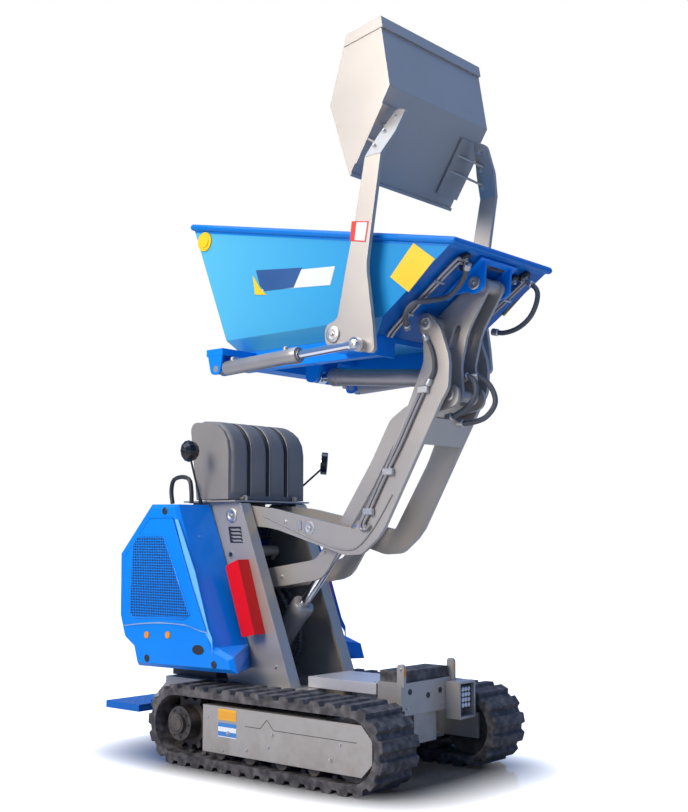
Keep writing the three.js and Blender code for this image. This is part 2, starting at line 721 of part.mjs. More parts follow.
// Barrel from its base eye, in the plane y, towards the rod's eye.
function barrel(base, eye, y, size, eyeHalf) {
  const start = along(base, eye, 30);
  const end = along(base, eye, size.length);
  const neck = along(base, eye, size.length - 34);
  return join(
    crossBar(base, size.barrel * 0.75, y - eyeHalf, y + eyeHalf),
    bar([base.x, y, base.z], [along(base, eye, 36).x, y, along(base, eye, 36).z], size.barrel * 0.6),
    bar([start.x, y, start.z], [end.x, y, end.z], size.barrel, 20),
    bar([neck.x, y, neck.z], [end.x, y, end.z], size.barrel + 2, 20),
  );
}

function hollowBarrel(base, eye, y, size, eyeHalf) {
  const deep = along(base, eye, 60);
  const mouth = along(base, eye, size.length + 5);
  return cut(barrel(base, eye, y, size, eyeHalf),
    bar([deep.x, y, deep.z], [mouth.x, y, mouth.z], size.rod + 1));
}

// Rod from inside its barrel to its eye.
function rod(base, eye, y, size, eyeHalf, closed) {
  const length = Math.hypot(eye.x - base.x, eye.z - base.z);
  const inner = along(base, eye, Math.min(size.length - 40, 66 + length - closed));
  return join(
    bar([inner.x, y, inner.z], [eye.x, y, eye.z], size.rod),
    crossBar(eye, size.rod + 9, y - eyeHalf, y + eyeHalf),
  );
}

function cylinders() {
  const liftShaft = crossBar(LIFT_BASE, SHAFT, -62, 62);
  add('lift_barrel', join(hollowBarrel(LIFT_BASE, LIFT_EYE, 0, LIFT, 40), liftShaft), barrelPaint);
  add('lift_rod', rod(LIFT_BASE, LIFT_EYE, 0, LIFT, 24, 597), chrome);
  const tipShaft = crossBar(TIP_BASE, SHAFT, -COUPLER.outer, COUPLER.outer);
  add('tip_barrel', join(hollowBarrel(TIP_BASE, TIP_EYE, 0, TIP, 20), tipShaft), barrelPaint);
  add('tip_rod', rod(TIP_BASE, TIP_EYE, 0, TIP, 20, 549), chrome);
  const y = -LOADER.axis;
  const baseShaft = crossBar(LOADER_BASE, 12, y - 25, y + 25);
  addPair('loader_barrel', join(hollowBarrel(LOADER_BASE, LOADER_EYE, y, LOAD, 15), baseShaft), barrelPaint);
  addPair('loader_rod', rod(LOADER_BASE, LOADER_EYE, y, LOAD, 11, 411), chrome);
}

// ---------------------------------------------------------------- skip

// Convex hull of the tub, its walls moved inwards by t and carried past the rim by a factor.
function tubHull(t, past) {
  const { half, foldHalf, floorHalf, rear, front, foldRear, foldFront, floorRear, floorFront } = SKIP;
  const beyond = (from, to) => from + (to - from) * past;
  const rows = [
    [floorRear.x + t, floorHalf - t * 0.4, floorRear.z + t],
    [floorFront.x - t * 0.3, floorHalf - t * 0.4, floorFront.z + t],
    [foldRear.x + t, foldHalf - t, foldRear.z + t * 0.4],
    [foldFront.x - t, foldHalf - t, foldFront.z + t * 0.4],
    [beyond(foldRear.x + t, rear.x + t), beyond(foldHalf - t, half - t),
      beyond(foldRear.z, rear.z)],
    [beyond(foldFront.x - t, front.x - t), beyond(foldHalf - t, half - t),
      beyond(foldFront.z, front.z + t * 0.4)],
  ];
  const points = rows.flatMap(([x, y, z]) => [
    new THREE.Vector3(x, y, z), new THREE.Vector3(x, -y, z),
  ]);
  return solid(new ConvexGeometry(points));
}

function skipTub() {
  const { half, wall, rim, rear, front } = SKIP;
  const corners = [
    [rear.x, -half, rear.z], [front.x, -half, front.z], [front.x, half, front.z], [rear.x, half, rear.z],
  ];
  const bars = corners.map((from, i) => bar(from, corners[(i + 1) % 4], rim, 12));
  const knobs = corners.map((at) => ball(at, rim, 12));
  const room = tubHull(wall, 1.15);
  add('skip_tub', join(cut(tubHull(0, 1), room), ...bars, ...knobs), bluePaint);
}

function ear(corners, y, thickness, bore, radius) {
  const plate = prism(rounded(corners), y - thickness / 2, y + thickness / 2);
  return radius > 0 ? cut(plate, crossBar(bore, radius, y - thickness, y + thickness)) : plate;
}

function skipFrame() {
  const { low, out, width, rearX, frontX } = KEEL;
  const top = SKIP.floorRear.z - FIT;
  const rails = [-1, 1].map((side) => box(rearX, frontX, ...across(side, out, out - width), low, top));
  const crosses = [
    box(rearX, rearX + 80, -out, out, low + 8, top),
    box(frontX - 12, frontX, -out, out, top - 18, top),
    box(frontX - 12, frontX, -out, -130, low, top),
    box(frontX - 12, frontX, 130, out, low, top),
    box(10, 44, -out, out, top - 24, top),
  ];
  const tipEars = [-1, 1].map((side) => ear([[4, top], [90, top], [54, TIP_EYE.z - 24, 20],
    [TIP_EYE.x - 24, TIP_EYE.z - 24, 22]], side * 45, 14, TIP_EYE, 0));
  const wing = LOADER.axis + 26;
  const base = [-1, 1].map((side) => box(rearX, rearX + 80, ...across(side, out - 2, wing), 1398, 1422));
  const baseEars = [-1, 1].flatMap((side) => [-22, 22].map((leaf) => ear([
    [LOADER_BASE.x - 40, 1404], [LOADER_BASE.x + 34, 1404],
    [LOADER_BASE.x + 22, LOADER_BASE.z - 20, 18], [LOADER_BASE.x - 22, LOADER_BASE.z - 20, 18],
  ], side * LOADER.axis + leaf, 7, LOADER_BASE, 12 + PIN_FIT)));
  const inner = LOADER.outer - LOADER.plate - SIDE_FIT;
  const hubs = [-1, 1].map((side) => {
    const span = (a, b) => across(side, a, b);
    const arm = box(LOADER_PIVOT.x - 42, LOADER_PIVOT.x + 42, ...span(out - 2, 300), 1376, 1426);
    const boss = crossBar(LOADER_PIVOT, 28, ...span(292, inner));
    return join(arm, boss, crossBar(LOADER_PIVOT, SHAFT, ...span(inner - 1, LOADER.outer)));
  });
  add('skip_frame', join(...crosses, ...rails, ...tipEars, ...base, ...baseEars, ...hubs), bluePaint);
}

function skipBracket() {
  const { floorFront, front } = SKIP;
  const length = Math.hypot(front.x - floorFront.x, front.z - floorFront.z);
  const u = { x: (front.x - floorFront.x) / length, z: (front.z - floorFront.z) / length };
  const at = (s, out) => [floorFront.x + u.x * s + u.z * out, floorFront.z + u.z * s - u.x * out];
  const strip = (from, to, y0, y1) => prism([at(from, 2), at(to, 2), at(to, 9), at(from, 9)], y0, y1);
  const back = [strip(205, length - 22, -105, -62), strip(205, length - 22, 62, 105),
    strip(length - 56, length - 22, -63, 63)];
  const { x, z } = SKIP_PIVOT;
  const ears = [-1, 1].map((side) => ear([[...at(225, 7), 0], [...at(length - 28, 7), 0],
    [x + 34, z - 22, 24], [x - 6, z - 36, 24], [x - 40, z - 24, 20]], side * 73, 12, SKIP_PIVOT, 12 + PIN_FIT));
  add('skip_bracket', join(...back, ...ears), bluePaint);
}

// ---------------------------------------------------------------- self-loading shovel

// The arm's plate is folded inwards above the skip, and a gusseted foot lies on the shovel's back.
function loaderArm() {
  const { outer, plate, axis, fold, lean } = LOADER;
  const inside = -outer + plate;
  const outline = rounded([
    [346, 1392, 30], [553, 1346, 18], [545, 1440, 0], [519, 1629, 120], [580, fold, 0], [515, fold, 0],
    [474, 1786, 120], [442, 1664, 0], [398, 1470, 30], [346, 1460, 30],
  ]);
  const upright = cut(prism(outline, -outer, inside),
    crossBar(LOADER_PIVOT, SHAFT + PIN_FIT, -outer - 1, inside + 1));
  const folded = rounded([[515, fold - 2, 0], [580, fold - 2, 0], [603, 2062, 40], [606, 2150, 18],
    [562, 2164, 14], [530, 2060, 60]]);
  const leaning = prism(folded, -outer, inside)
    .transform([1, 0, 0, 0, 0, 1, 0, 0, 0, lean, 1, 0, 0, -lean * fold, 0, 1]);
  const foot = prism([onShovelBack(45, 2), onShovelBack(255, 2), onShovelBack(255, 9), onShovelBack(45, 9)],
    50 - outer, 170 - outer);
  const gussets = [[130, 78, outer - 30], [190, 72, outer - 65]].map(([from, out, reach]) => {
    const corners = [from, from + 7].flatMap((s) => [
      [onShovelBack(s, 8), outer - 155], [onShovelBack(s, 8), reach - 22], [onShovelBack(s, out), reach],
      [onShovelBack(s, out), reach - 14],
    ]);
    return solid(new ConvexGeometry(corners.map(([[x, z], y]) => new THREE.Vector3(x, -y, z))));
  });
  const block = crossBar(LOADER_EYE, 22, -axis + LOAD.rod + SIDE_FIT, -outer + 1);
  addPair('loader_arm', join(upright, leaning, foot, ...gussets, block), greyPaint);
}

const shovelBack = [[575, 2226], [405, 1959]];      // fold and lip of the shovel's lower back

// Point s up the shovel's lower back from its lip, and out in front of it.
function onShovelBack(s, out) {
  const [[x1, z1], [x0, z0]] = shovelBack;
  const length = Math.hypot(x1 - x0, z1 - z0);
  const u = { x: (x1 - x0) / length, z: (z1 - z0) / length };
  return [x0 + u.x * s + u.z * out, z0 + u.z * s - u.x * out];
}

function shovel() {
  const outline = [[535, 2466], ...shovelBack, [320, 2218], [393, 2444]];
  const { half, shell, cheek } = SHOVEL;
  const room = prism(inset(outline, [shell, shell, -60, -60, -60]), -half + cheek, half - cheek);
  add('shovel', cut(prism(outline, -half, half), room), greyPaint);
}

// ---------------------------------------------------------------- assembly

track();
trackFrame();
idler();
sprocket();
trackRollers();
chassis();
frontBox();
lampBox();
deckBox();
mast();
engine();
sidePanel();
rearPanel();
console();
hood();
mirrors();
grabHandles();
safetyProps();
platform();
boom();
lowerArm();
coupler();
cylinders();
skipTub();
skipFrame();
skipBracket();
loaderArm();
shovel();

export default model;
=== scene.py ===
import json
import math
import bpy
import numpy as np
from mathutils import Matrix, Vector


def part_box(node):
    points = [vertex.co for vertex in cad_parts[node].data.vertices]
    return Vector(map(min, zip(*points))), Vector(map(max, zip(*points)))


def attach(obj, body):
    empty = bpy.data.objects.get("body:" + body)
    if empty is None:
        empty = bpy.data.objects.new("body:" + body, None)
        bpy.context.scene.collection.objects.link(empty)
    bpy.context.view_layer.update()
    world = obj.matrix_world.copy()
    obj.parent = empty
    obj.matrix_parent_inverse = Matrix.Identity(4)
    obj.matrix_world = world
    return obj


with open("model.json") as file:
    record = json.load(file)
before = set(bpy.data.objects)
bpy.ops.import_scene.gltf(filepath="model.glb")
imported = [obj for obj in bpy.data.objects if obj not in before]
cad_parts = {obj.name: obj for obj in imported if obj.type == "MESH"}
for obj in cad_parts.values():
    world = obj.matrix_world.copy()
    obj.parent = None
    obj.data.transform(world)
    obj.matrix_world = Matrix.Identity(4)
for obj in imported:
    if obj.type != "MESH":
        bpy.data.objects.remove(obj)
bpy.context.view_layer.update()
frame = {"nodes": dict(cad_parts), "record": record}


# Camera: on the right of the machine and ahead of it, a little below the skip,
# looking slightly upwards at the raised boom.

camera_data = bpy.data.cameras.new("camera")
camera_data.lens = 52.39
camera_data.clip_end = 50
camera = bpy.data.objects.new("camera", camera_data)
camera.location = (2.8548, -3.1693, 0.7901)
camera.rotation_euler = (math.radians(96.12), 0, math.radians(40.58))
bpy.context.scene.collection.objects.link(camera)
bpy.context.scene.camera = camera
bpy.context.scene.view_settings.view_transform = "Standard"


# Studio: a wide pale floor with a painted shadow of the machine in its glow and colour, a room that is
# white behind the machine and blue in gloss, and two soft lamps, a warm one ahead and a cool one above.
# The floor is a plane of one face.


class Wire:
    """A socket of a material's nodes, which grows Math nodes when it is used in an expression."""

    def __init__(self, recipe, socket):
        self.recipe = recipe
        self.socket = socket

    def _math(self, operation, first, second):
        return self.recipe.node("ShaderNodeMath", {"operation": operation}, {0: first, 1: second})

    def __add__(self, other):
        return self._math("ADD", self, other)

    def __sub__(self, other):
        return self._math("SUBTRACT", self, other)

    def __rsub__(self, other):
        return self._math("SUBTRACT", other, self)

    def __mul__(self, other):
        return self._math("MULTIPLY", self, other)

    def __gt__(self, other):
        return self._math("GREATER_THAN", self, other)

    __radd__ = __add__
    __rmul__ = __mul__


class Recipe:
    """A material while it is made: its node tree, and the shader that fixed and varying values go to."""

    def __init__(self, name, fixed):
        self.material = bpy.data.materials.new(name)
        self.material.use_nodes = True
        self.tree = self.material.node_tree
        self.shader = self.tree.nodes["Principled BSDF"]
        for socket, value in fixed.items():
            self.shader.inputs[socket].default_value = value

    def node(self, kind, settings=None, inputs=None, output=0):
        """Adds a node, sets its settings, then the values or links of its inputs, and gives one output."""
        made = self.tree.nodes.new(kind)
        for key, value in (settings or {}).items():
            setattr(made, key, value)
        for key, value in (inputs or {}).items():
            if isinstance(value, Wire):
                self.tree.links.new(value.socket, made.inputs[key])
            else:
                made.inputs[key].default_value = value
        return Wire(self, made.outputs[output])

    def noise(self, scale, detail=3.0, stretch=(1, 1, 1)):
        """Cloudy noise on the machine's own coordinates, from 0 to 1."""
        place = self.node("ShaderNodeTexCoord", output="Object")
        place = self.node("ShaderNodeMapping", inputs={"Vector": place, "Scale": stretch})
        return self.node("ShaderNodeTexNoise", inputs={"Vector": place, "Scale": scale, "Detail": detail})

    def height(self, axis):
        """One coordinate in metres."""
        place = self.node("ShaderNodeTexCoord", output="Object")
        return self.node("ShaderNodeSeparateXYZ", inputs={0: place}, output=axis)

    def blend(self, mask, low, high):
        """Colour low where the mask is 0 and high where it is 1."""
        return self.node("ShaderNodeMix", {"data_type": "RGBA"}, {0: mask, 6: low, 7: high}, output=2)

    def ramp(self, value, low, high):
        """0 below low and 1 above high, straight between them."""
        return self.node("ShaderNodeMapRange", inputs={0: value, 1: low, 2: high, 3: 0.0, 4: 1.0})

    def bump(self, value, distance, strength=1.0, edge=0.0):
        """Normal from a height, on edges rounded by a radius in metres."""
        inputs = {"Height": value, "Distance": distance, "Strength": strength}
        if edge:
            inputs["Normal"] = self.node("ShaderNodeBevel", {"samples": 4}, {"Radius": edge})
        return self.node("ShaderNodeBump", inputs=inputs)

    def feed(self, **varying):
        """Links varying values: base_color, roughness, metallic, normal, emission_color."""
        for key, value in varying.items():
            socket = self.shader.inputs[key.replace("_", " ").title()]
            self.tree.links.new(value.socket, socket)
        return self.material


def room_colour():
    """White behind the machine; a dimmer blue sky in reflections and on the shaded faces."""
    world = bpy.data.worlds.new("studio")
    bpy.context.scene.world = world
    world.use_nodes = True
    nodes, links = world.node_tree.nodes, world.node_tree.links
    seen = nodes.new("ShaderNodeLightPath").outputs["Is Camera Ray"]
    colour = nodes.new("ShaderNodeMix")
    colour.data_type = "RGBA"
    colour.inputs[6].default_value = (0.17, 0.29, 0.6, 1)
    colour.inputs[7].default_value = (1, 1, 1, 1)
    links.new(seen, colour.inputs[0])
    links.new(colour.outputs[2], nodes["Background"].inputs[0])


def lamp(name, place, aim, size, power, colour):
    """Square soft lamp, turned about x by its drop and about z by its heading towards the aim."""
    data = bpy.data.lights.new(name, "AREA")
    data.size = size
    data.energy = power
    data.color = colour
    thing = bpy.data.objects.new(name, data)
    way = np.array(aim) - np.array(place)
    flat = math.hypot(way[0], way[1])
    thing.location = place
    thing.rotation_euler = (math.atan2(flat, -way[2]), 0, math.atan2(way[1], way[0]) - math.pi / 2)
    bpy.context.scene.collection.objects.link(thing)


def studio_floor():
    """One square face with a painted shadow: glow and colour darken over (x / long)^4 + (y / wide)^4, and a
    wider painted shade over x^2 + y^2.
    """
    reach = 14.0
    shade_long, shade_wide = 0.68, 0.44
    black = (0, 0, 0, 1)
    mesh = bpy.data.meshes.new("floor")
    corners = [(-reach, -reach, 0), (reach, -reach, 0), (reach, reach, 0), (-reach, reach, 0)]
    mesh.from_pydata(corners, [], [(0, 1, 2, 3)])
    floor = bpy.data.objects.new("floor", mesh)
    bpy.context.scene.collection.objects.link(floor)
    recipe = Recipe("floor", {"Roughness": 0.12, "Emission Strength": 1.0})
    x, y = recipe.height(0), recipe.height(1)
    # Painted shadow: the glow is nearly black and the colour dark under the machine, and a wider painted
    # shade dims the glow around it.
    wide = recipe.ramp(x * x + y * y, 0.5, 6.0)
    x, y = x * (1 / shade_long), y * (1 / shade_wide)
    painted_shadow = recipe.ramp(x * x * x * x + y * y * y * y, 0.5, 2.6)
    around = recipe.blend(wide, (0.8, 0.8, 0.8, 1), (1, 1, 1, 1))
    glow_with_painted_shadow = recipe.blend(painted_shadow, (0.01, 0.01, 0.01, 1), around)
    seen = recipe.node("ShaderNodeLightPath", output="Is Camera Ray")
    base = recipe.blend(painted_shadow, (0.12, 0.115, 0.11, 1), (0.85, 0.79, 0.72, 1))
    mesh.materials.append(recipe.feed(base_color=base, emission_color=recipe.blend(seen, black, glow_with_painted_shadow)))


room_colour()
studio_floor()
lamp("key", (-0.6, -4.3, 3.3), (0.1, 0, 1.1), 2.4, 205, (1.0, 0.91, 0.79))
lamp("top", (-0.1, -0.8, 5.6), (0.1, -0.3, 0), 5.0, 190, (0.8, 0.9, 1.0))


# Rubber tracks: one moulded belt each, with a shoe every few centimetres. The rubber is
# dull brown-black, dusty on its outer shoes. Guide teeth run along the inside of the belt.


hands = ((-1, "right"), (1, "left"))


def paint(material, *nodes):
    """Gives the objects of some CAD nodes one material."""
    for node in nodes:
        thing = bpy.data.objects[node] if node in bpy.data.objects else frame["nodes"][node]
        thing.data.materials.clear()
        thing.data.materials.append(material)


def sides(name):
    return [f"{name}_right", f"{name}_left"]


def piece(name, parts, material, body="chassis", smooth=0.7):
    """One mesh from several (points, faces) parts, riding on a body."""
    points = []
    faces = []
    start = 0
    for part_points, part_faces in parts:
        flat = np.asarray(part_points, float).reshape(-1, 3)
        points.append(flat)
        faces.extend([tuple(int(i) + start for i in face) for face in part_faces])
        start += len(flat)
    mesh = bpy.data.meshes.new(name)
    mesh.from_pydata(np.concatenate(points).tolist(), [], faces)
    mesh.polygons.foreach_set("use_smooth", np.ones(len(mesh.polygons), bool))
    mesh.set_sharp_from_angle(angle=smooth)
    mesh.materials.append(material)
    thing = bpy.data.objects.new(name, mesh)
    bpy.context.scene.collection.objects.link(thing)
    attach(thing, body)


def skin(grid, loop=False):
    """Closed body from rings of points, grid[ring, place], with flat caps on its end rings, or looped."""
    rings, around = grid.shape[:2]
    low = np.arange(rings * around).reshape(rings, around)
    high = np.roll(low, -1, axis=1)
    after = np.roll(low, -1, axis=0), np.roll(high, -1, axis=0)
    last = rings if loop else rings - 1
    quads = np.stack([low[:last], high[:last], after[1][:last], after[0][:last]], axis=-1).reshape(-1, 4)
    faces = [tuple(q) for q in quads.tolist()]
    if not loop:
        faces.append(tuple(low[0, ::-1].tolist()))
        faces.append(tuple(low[-1].tolist()))
    return outward(grid.reshape(-1, 3), faces)


def outward(points, faces):
    """Turns every face round when the body's signed volume comes out negative."""
    volume = 0.0
    for face in faces:
        a = points[face[0]]
        b = points[list(face[1:-1])]
        c = points[list(face[2:])]
        volume += float(np.sum(a * np.cross(b, c)))
    return (points, faces if volume > 0 else [face[::-1] for face in faces])


def square_axes(axis):
    """Two unit vectors square to an axis and to each other."""
    axis = np.asarray(axis, float) / np.linalg.norm(axis)
    helper = np.array([0, 0, 1.0]) if abs(axis[2]) < 0.9 else np.array([1.0, 0, 0])
    first = np.cross(helper, axis)
    first /= np.linalg.norm(first)
    return axis, first, np.cross(axis, first)


def turned(profile, origin, axis, around=40, loop=False):
    """Turned body: point = origin + s axis + r (cos v first + sin v second) over the profile's (s, r)."""
    axis, first, second = square_axes(axis)
    profile = np.asarray(profile, float)
    angle = np.linspace(0, 2 * math.pi, around, endpoint=False)
    ring = np.cos(angle)[:, None] * first + np.sin(angle)[:, None] * second
    grid = np.asarray(origin) + profile[:, 0, None, None] * axis + profile[:, 1, None, None] * ring[None]
    return skin(grid, loop)


def block(low, high, edge=0.0015):
    """Box whose long edges are cut back: its outline is carried along z through four rings."""
    low, high = np.asarray(low, float), np.asarray(high, float)
    x0, y0 = low[:2]
    x1, y1 = high[:2]
    outline = np.array([[x0 + edge, y0], [x1 - edge, y0], [x1, y0 + edge], [x1, y1 - edge],
                        [x1 - edge, y1], [x0 + edge, y1], [x0, y1 - edge], [x0, y0 + edge]])
    middle = (low[:2] + high[:2]) / 2
    small = middle + (outline - middle) * (1 - edge / np.maximum((high - low)[:2] / 2, 1e-6))
    levels = [(low[2], small), (low[2] + edge, outline), (high[2] - edge, outline), (high[2], small)]
    grid = np.array([np.column_stack([shape, np.full(8, z)]) for z, shape in levels])
    return skin(grid)


def plate(outline, y0, y1, edge=0.001):
    """Flat plate in the XZ plane: its outline [x, z] between y0 and y1, the edges slightly cut back."""
    outline = np.asarray(outline, float)
    middle = outline.mean(0)
    small = outline + (middle - outline) / np.linalg.norm(middle - outline, axis=1)[:, None] * edge
    step = edge if y1 > y0 else -edge
    levels = [(y0, small), (y0 + step, outline), (y1 - step, outline), (y1, small)]
    return skin(np.array([np.column_stack([s[:, 0], np.full(len(s), y), s[:, 1]]) for y, s in levels]))


def in_plane(points, y):
    """Points [x, z] placed at one y."""
    return np.insert(np.asarray(points, float), 1, y, axis=1)


def curve_points(knots, steps):
    """Catmull-Rom curve through the knots: each stretch is a cubic in t with the neighbours' slopes."""
    knots = np.asarray(knots, float)
    padded = np.vstack([2 * knots[0] - knots[1], knots, 2 * knots[-1] - knots[-2]])
    t = np.linspace(0, 1, steps, endpoint=False)[None, :, None]
    a, b, c, d = (padded[k:len(padded) - 3 + k, None] for k in range(4))
    body = 0.5 * (2 * b + (c - a) * t + (2 * a - 5 * b + 4 * c - d) * t ** 2
                  + (3 * b - a - 3 * c + d) * t ** 3)
    return np.vstack([body.reshape(-1, 3), knots[-1]])


def tube(path, radius, around=12):
    """Round tube: a ring square to the path at each point, its axes carried along. One radius or many."""
    path = np.asarray(path, float)
    way = np.gradient(path, axis=0)
    way /= np.linalg.norm(way, axis=1)[:, None]
    first = square_axes(way[0])[1]
    firsts = []
    for direction in way:
        first = first - direction * np.dot(first, direction)
        first /= np.linalg.norm(first)
        firsts.append(first)
    firsts = np.array(firsts)
    seconds = np.cross(way, firsts)
    angle = np.linspace(0, 2 * math.pi, around, endpoint=False)
    ring = np.cos(angle)[None, :, None] * firsts[:, None] + np.sin(angle)[None, :, None] * seconds[:, None]
    return skin(path[:, None] + np.broadcast_to(radius, len(path))[:, None, None] * ring)


def track_rubber():
    recipe = Recipe("track_rubber", {"Specular IOR Level": 0.6})
    dust = recipe.ramp(recipe.noise(34, 6), 0.42, 0.7)
    grain = recipe.noise(420, 2)
    colour = recipe.blend(dust, (0.035, 0.031, 0.03, 1), (0.15, 0.135, 0.13, 1))
    return recipe.feed(base_color=colour, roughness=0.62 + dust * 0.25,
                       normal=recipe.bump(grain, 0.0006, 0.6, edge=0.003))


rubber = track_rubber()
paint(rubber, *sides("track"))


def belt_teeth(node):
    """Guide teeth: a short block on the inside of the straight lower and upper belt runs."""
    low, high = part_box(node)
    middle = (low.y + high.y) / 2
    radius = (high.z - low.z) / 2
    belt, pitch, long, half = 0.036, 0.066, 0.022, 0.009
    lower = (low.z + belt - 0.002, low.z + belt + 0.012)
    upper = (high.z - belt - 0.012, high.z - belt + 0.002)
    parts = []
    for x in np.arange(low.x + radius + 0.02, high.x - radius, pitch):
        for z0, z1 in (lower, upper):
            for y in (middle - 0.034, middle + 0.034):
                parts.append(block((x, y - half, z0), (x + long, y + half, z1), 0.003))
    return parts


for side, name in hands:
    piece(f"guide_teeth_{name}", belt_teeth(f"track_{name}"), rubber)


# Track frames: a thick painted side plate with a chamfered nose in front of the belt's
# inside, held by hexagon bolts. A scored line runs along it, and two blank labels sit on it.


def satin_grey(name, low, high):
    """Silver-taupe paint with fine metal flake, soft cloudiness, and dust near the ground."""
    recipe = Recipe(name, {"Metallic": 0.5, "Coat Weight": 0.2, "Coat Roughness": 0.2})
    cloud = recipe.noise(5, 4)
    flake = recipe.noise(900, 1)
    dust = (1 - recipe.ramp(recipe.height(2), 0.02, 0.32)) * recipe.ramp(recipe.noise(22, 6), 0.35, 0.75)
    colour = recipe.blend(cloud, low, high)
    colour = recipe.blend(dust * 0.5, colour, (0.24, 0.2, 0.165, 1))
    return recipe.feed(base_color=colour, roughness=0.34 + cloud * 0.12 + dust * 0.3,
                       normal=recipe.bump(flake, 0.0002, 0.25, edge=0.0022))


def zinc():
    recipe = Recipe("zinc", {"Base Color": (0.62, 0.6, 0.55, 1), "Metallic": 0.9})
    return recipe.feed(roughness=0.28 + recipe.noise(60) * 0.22)


def black_line():
    recipe = Recipe("scored_line", {"Metallic": 0.2})
    shade = recipe.blend(recipe.noise(40), (0.1, 0.09, 0.08, 1), (0.17, 0.155, 0.14, 1))
    return recipe.feed(base_color=shade, roughness=0.6 + recipe.noise(90) * 0.2)


def sticker(name, colour, other, period):
    """Blank plastic label in level bands: the upper half of every period is the other colour."""
    recipe = Recipe(name, {"Coat Weight": 0.3})
    band = recipe.node("ShaderNodeMath", {"operation": "FRACT"}, {0: recipe.height(2) * (1 / period)})
    shade = recipe.blend(band > 0.5, colour, other)
    return recipe.feed(base_color=shade, roughness=0.3 + recipe.noise(300, 1) * 0.1)


def hex_bolt(place, axis, across, high):
    """Washer, hexagon head with a domed top, as two turned bodies of 24 and 6 sides."""
    washer = [(0, across * 0.72), (high * 0.18, across * 0.72), (high * 0.2, across * 0.66)]
    head = [(high * 0.15, across * 0.56), (high * 0.85, across * 0.56), (high, across * 0.44)]
    return [turned(washer, place, axis, 24), turned(head, place, axis, 6)]


def pin_head(place, axis, radius, high):
    """Round pin head with a bevelled rim and a shallow dish in its face."""
    profile = [(0, radius), (high * 0.75, radius), (high, radius * 0.88), (high, radius * 0.55),
               (high * 0.7, radius * 0.45)]
    return turned(profile, place, axis, 32)


grey = satin_grey("satin_grey", (0.43, 0.395, 0.345, 1), (0.52, 0.475, 0.415, 1))
bolt_steel = zinc()
score = black_line()
amber_label = sticker("amber_label", (0.85, 0.42, 0.02, 1), (0.8, 0.36, 0.015, 1), 0.05)
blue_label = sticker("blue_label", (0.04, 0.2, 0.55, 1), (0.8, 0.82, 0.84, 1), 0.03)
paint(grey, *sides("track_frame"))


def outer_face(node, side):
    """The y of a node's outer face, and the unit vector that points out of it."""
    low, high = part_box(node)
    return (low.y if side < 0 else high.y), np.array([0, side, 0.0])


def frame_fittings(side, name):
    """Bolts, the scored line and two blank labels on one side plate."""
    node = f"track_frame_{name}"
    low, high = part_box(node)
    face, out = outer_face(node, side)
    spots = ((-0.032, 0.132, 0.01), (0.053, 0.087, 0.007), (0.169, 0.148, 0.009), (0.416, 0.1, 0.01),
             (0.152, 0.108, 0.007), (-0.132, 0.176, 0.007), (0.456, 0.149, 0.007), (-0.059, 0.074, 0.007))
    bolts = []
    for x, z, across in spots:
        bolts += hex_bolt((x, face, z), out, across, across * 0.7)
    piece(f"frame_bolts_{name}", bolts, bolt_steel)
    line = np.array([[low.x + 0.2, low.z + 0.1], [low.x + 0.27, low.z + 0.1], [low.x + 0.3, low.z + 0.13],
                     [low.x + 0.33, low.z + 0.1], [high.x - 0.06, low.z + 0.1]])
    parts = []
    for a, b in zip(line[:-1], line[1:]):
        along = (b - a) / np.linalg.norm(b - a)
        across = np.array([-along[1], along[0]]) * 0.0012
        outline = [a - across, b - across, b + across, a + across]
        parts.append(plate(outline, face, face + side * 0.0006, 0.0002))
    piece(f"scored_line_{name}", parts, score)
    for label, material, z0, z1 in (("amber_label", amber_label, 0.172, 0.208),
                                    ("blue_label", blue_label, 0.117, 0.163)):
        outline = [(-0.081, z0), (0.004, z0), (0.004, z1), (-0.081, z1)]
        patch = plate(outline, face, face + side * 0.0008, 0.0003)
        piece(f"{label}_{name}", [patch], material)


for side, name in hands:
    frame_fittings(side, name)


# Sprockets, idlers and rollers: cast steel, dark and dusty. The sprocket's hub motor is
# closed by a cap with a ring of socket screws.


def cast_steel():
    recipe = Recipe("cast_steel", {"Metallic": 0.75})
    patch = recipe.ramp(recipe.noise(18, 6), 0.4, 0.66)
    colour = recipe.blend(patch, (0.09, 0.083, 0.077, 1), (0.2, 0.17, 0.145, 1))
    return recipe.feed(base_color=colour, roughness=0.42 + patch * 0.4,
                       normal=recipe.bump(recipe.noise(240), 0.0006, 0.5, edge=0.002))


iron = cast_steel()
paint(iron, *sides("sprocket"), *sides("idler"), *sides("track_rollers"))


def ring_of_bolts(centre, axis, ring, count, across, high):
    """Bolts evenly round an axis: place = centre + ring (cos a first + sin a second)."""
    axis, first, second = square_axes(axis)
    parts = []
    for k in range(count):
        angle = 2 * math.pi * k / count
        place = np.asarray(centre) + ring * (math.cos(angle) * first + math.sin(angle) * second)
        parts += hex_bolt(place, axis, across, high)
    return parts


def hub_cap(side, name):
    """Motor cap: nine bolts round a turned drum, and a small centre plug."""
    node = f"sprocket_{name}"
    low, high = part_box(node)
    face, out = outer_face(node, side)
    centre = np.array([(low.x + high.x) / 2, face, (low.z + high.z) / 2])
    inner = centre - out * 0.014
    parts = ring_of_bolts(inner, out, 0.047, 9, 0.0055, 0.006)
    parts.append(turned([(0, 0.026), (0.002, 0.027), (0.003, 0.02), (0.003, 0.008)], centre, out, 32))
    parts += hex_bolt(centre + out * 0.002, out, 0.006, 0.004)
    piece(f"hub_cap_{name}", parts, iron)


for side, name in hands:
    hub_cap(side, name)


# Chassis, crossmember and deck box: welded and folded plate, painted like the boom; the deck box's grey is
# lighter, painted light for its lit top. The crossmember has three round holes and carries a lamp and the
# rubber pad the boom rests on.

paint(grey, "chassis_frame", "front_crossmember", "lamp_housing")
# The deck box gets a lighter copy of the grey paint: painted light on its top.
paint(satin_grey("pale_grey", (0.74, 0.7, 0.67, 1), (0.84, 0.8, 0.77, 1)), "deck_box")


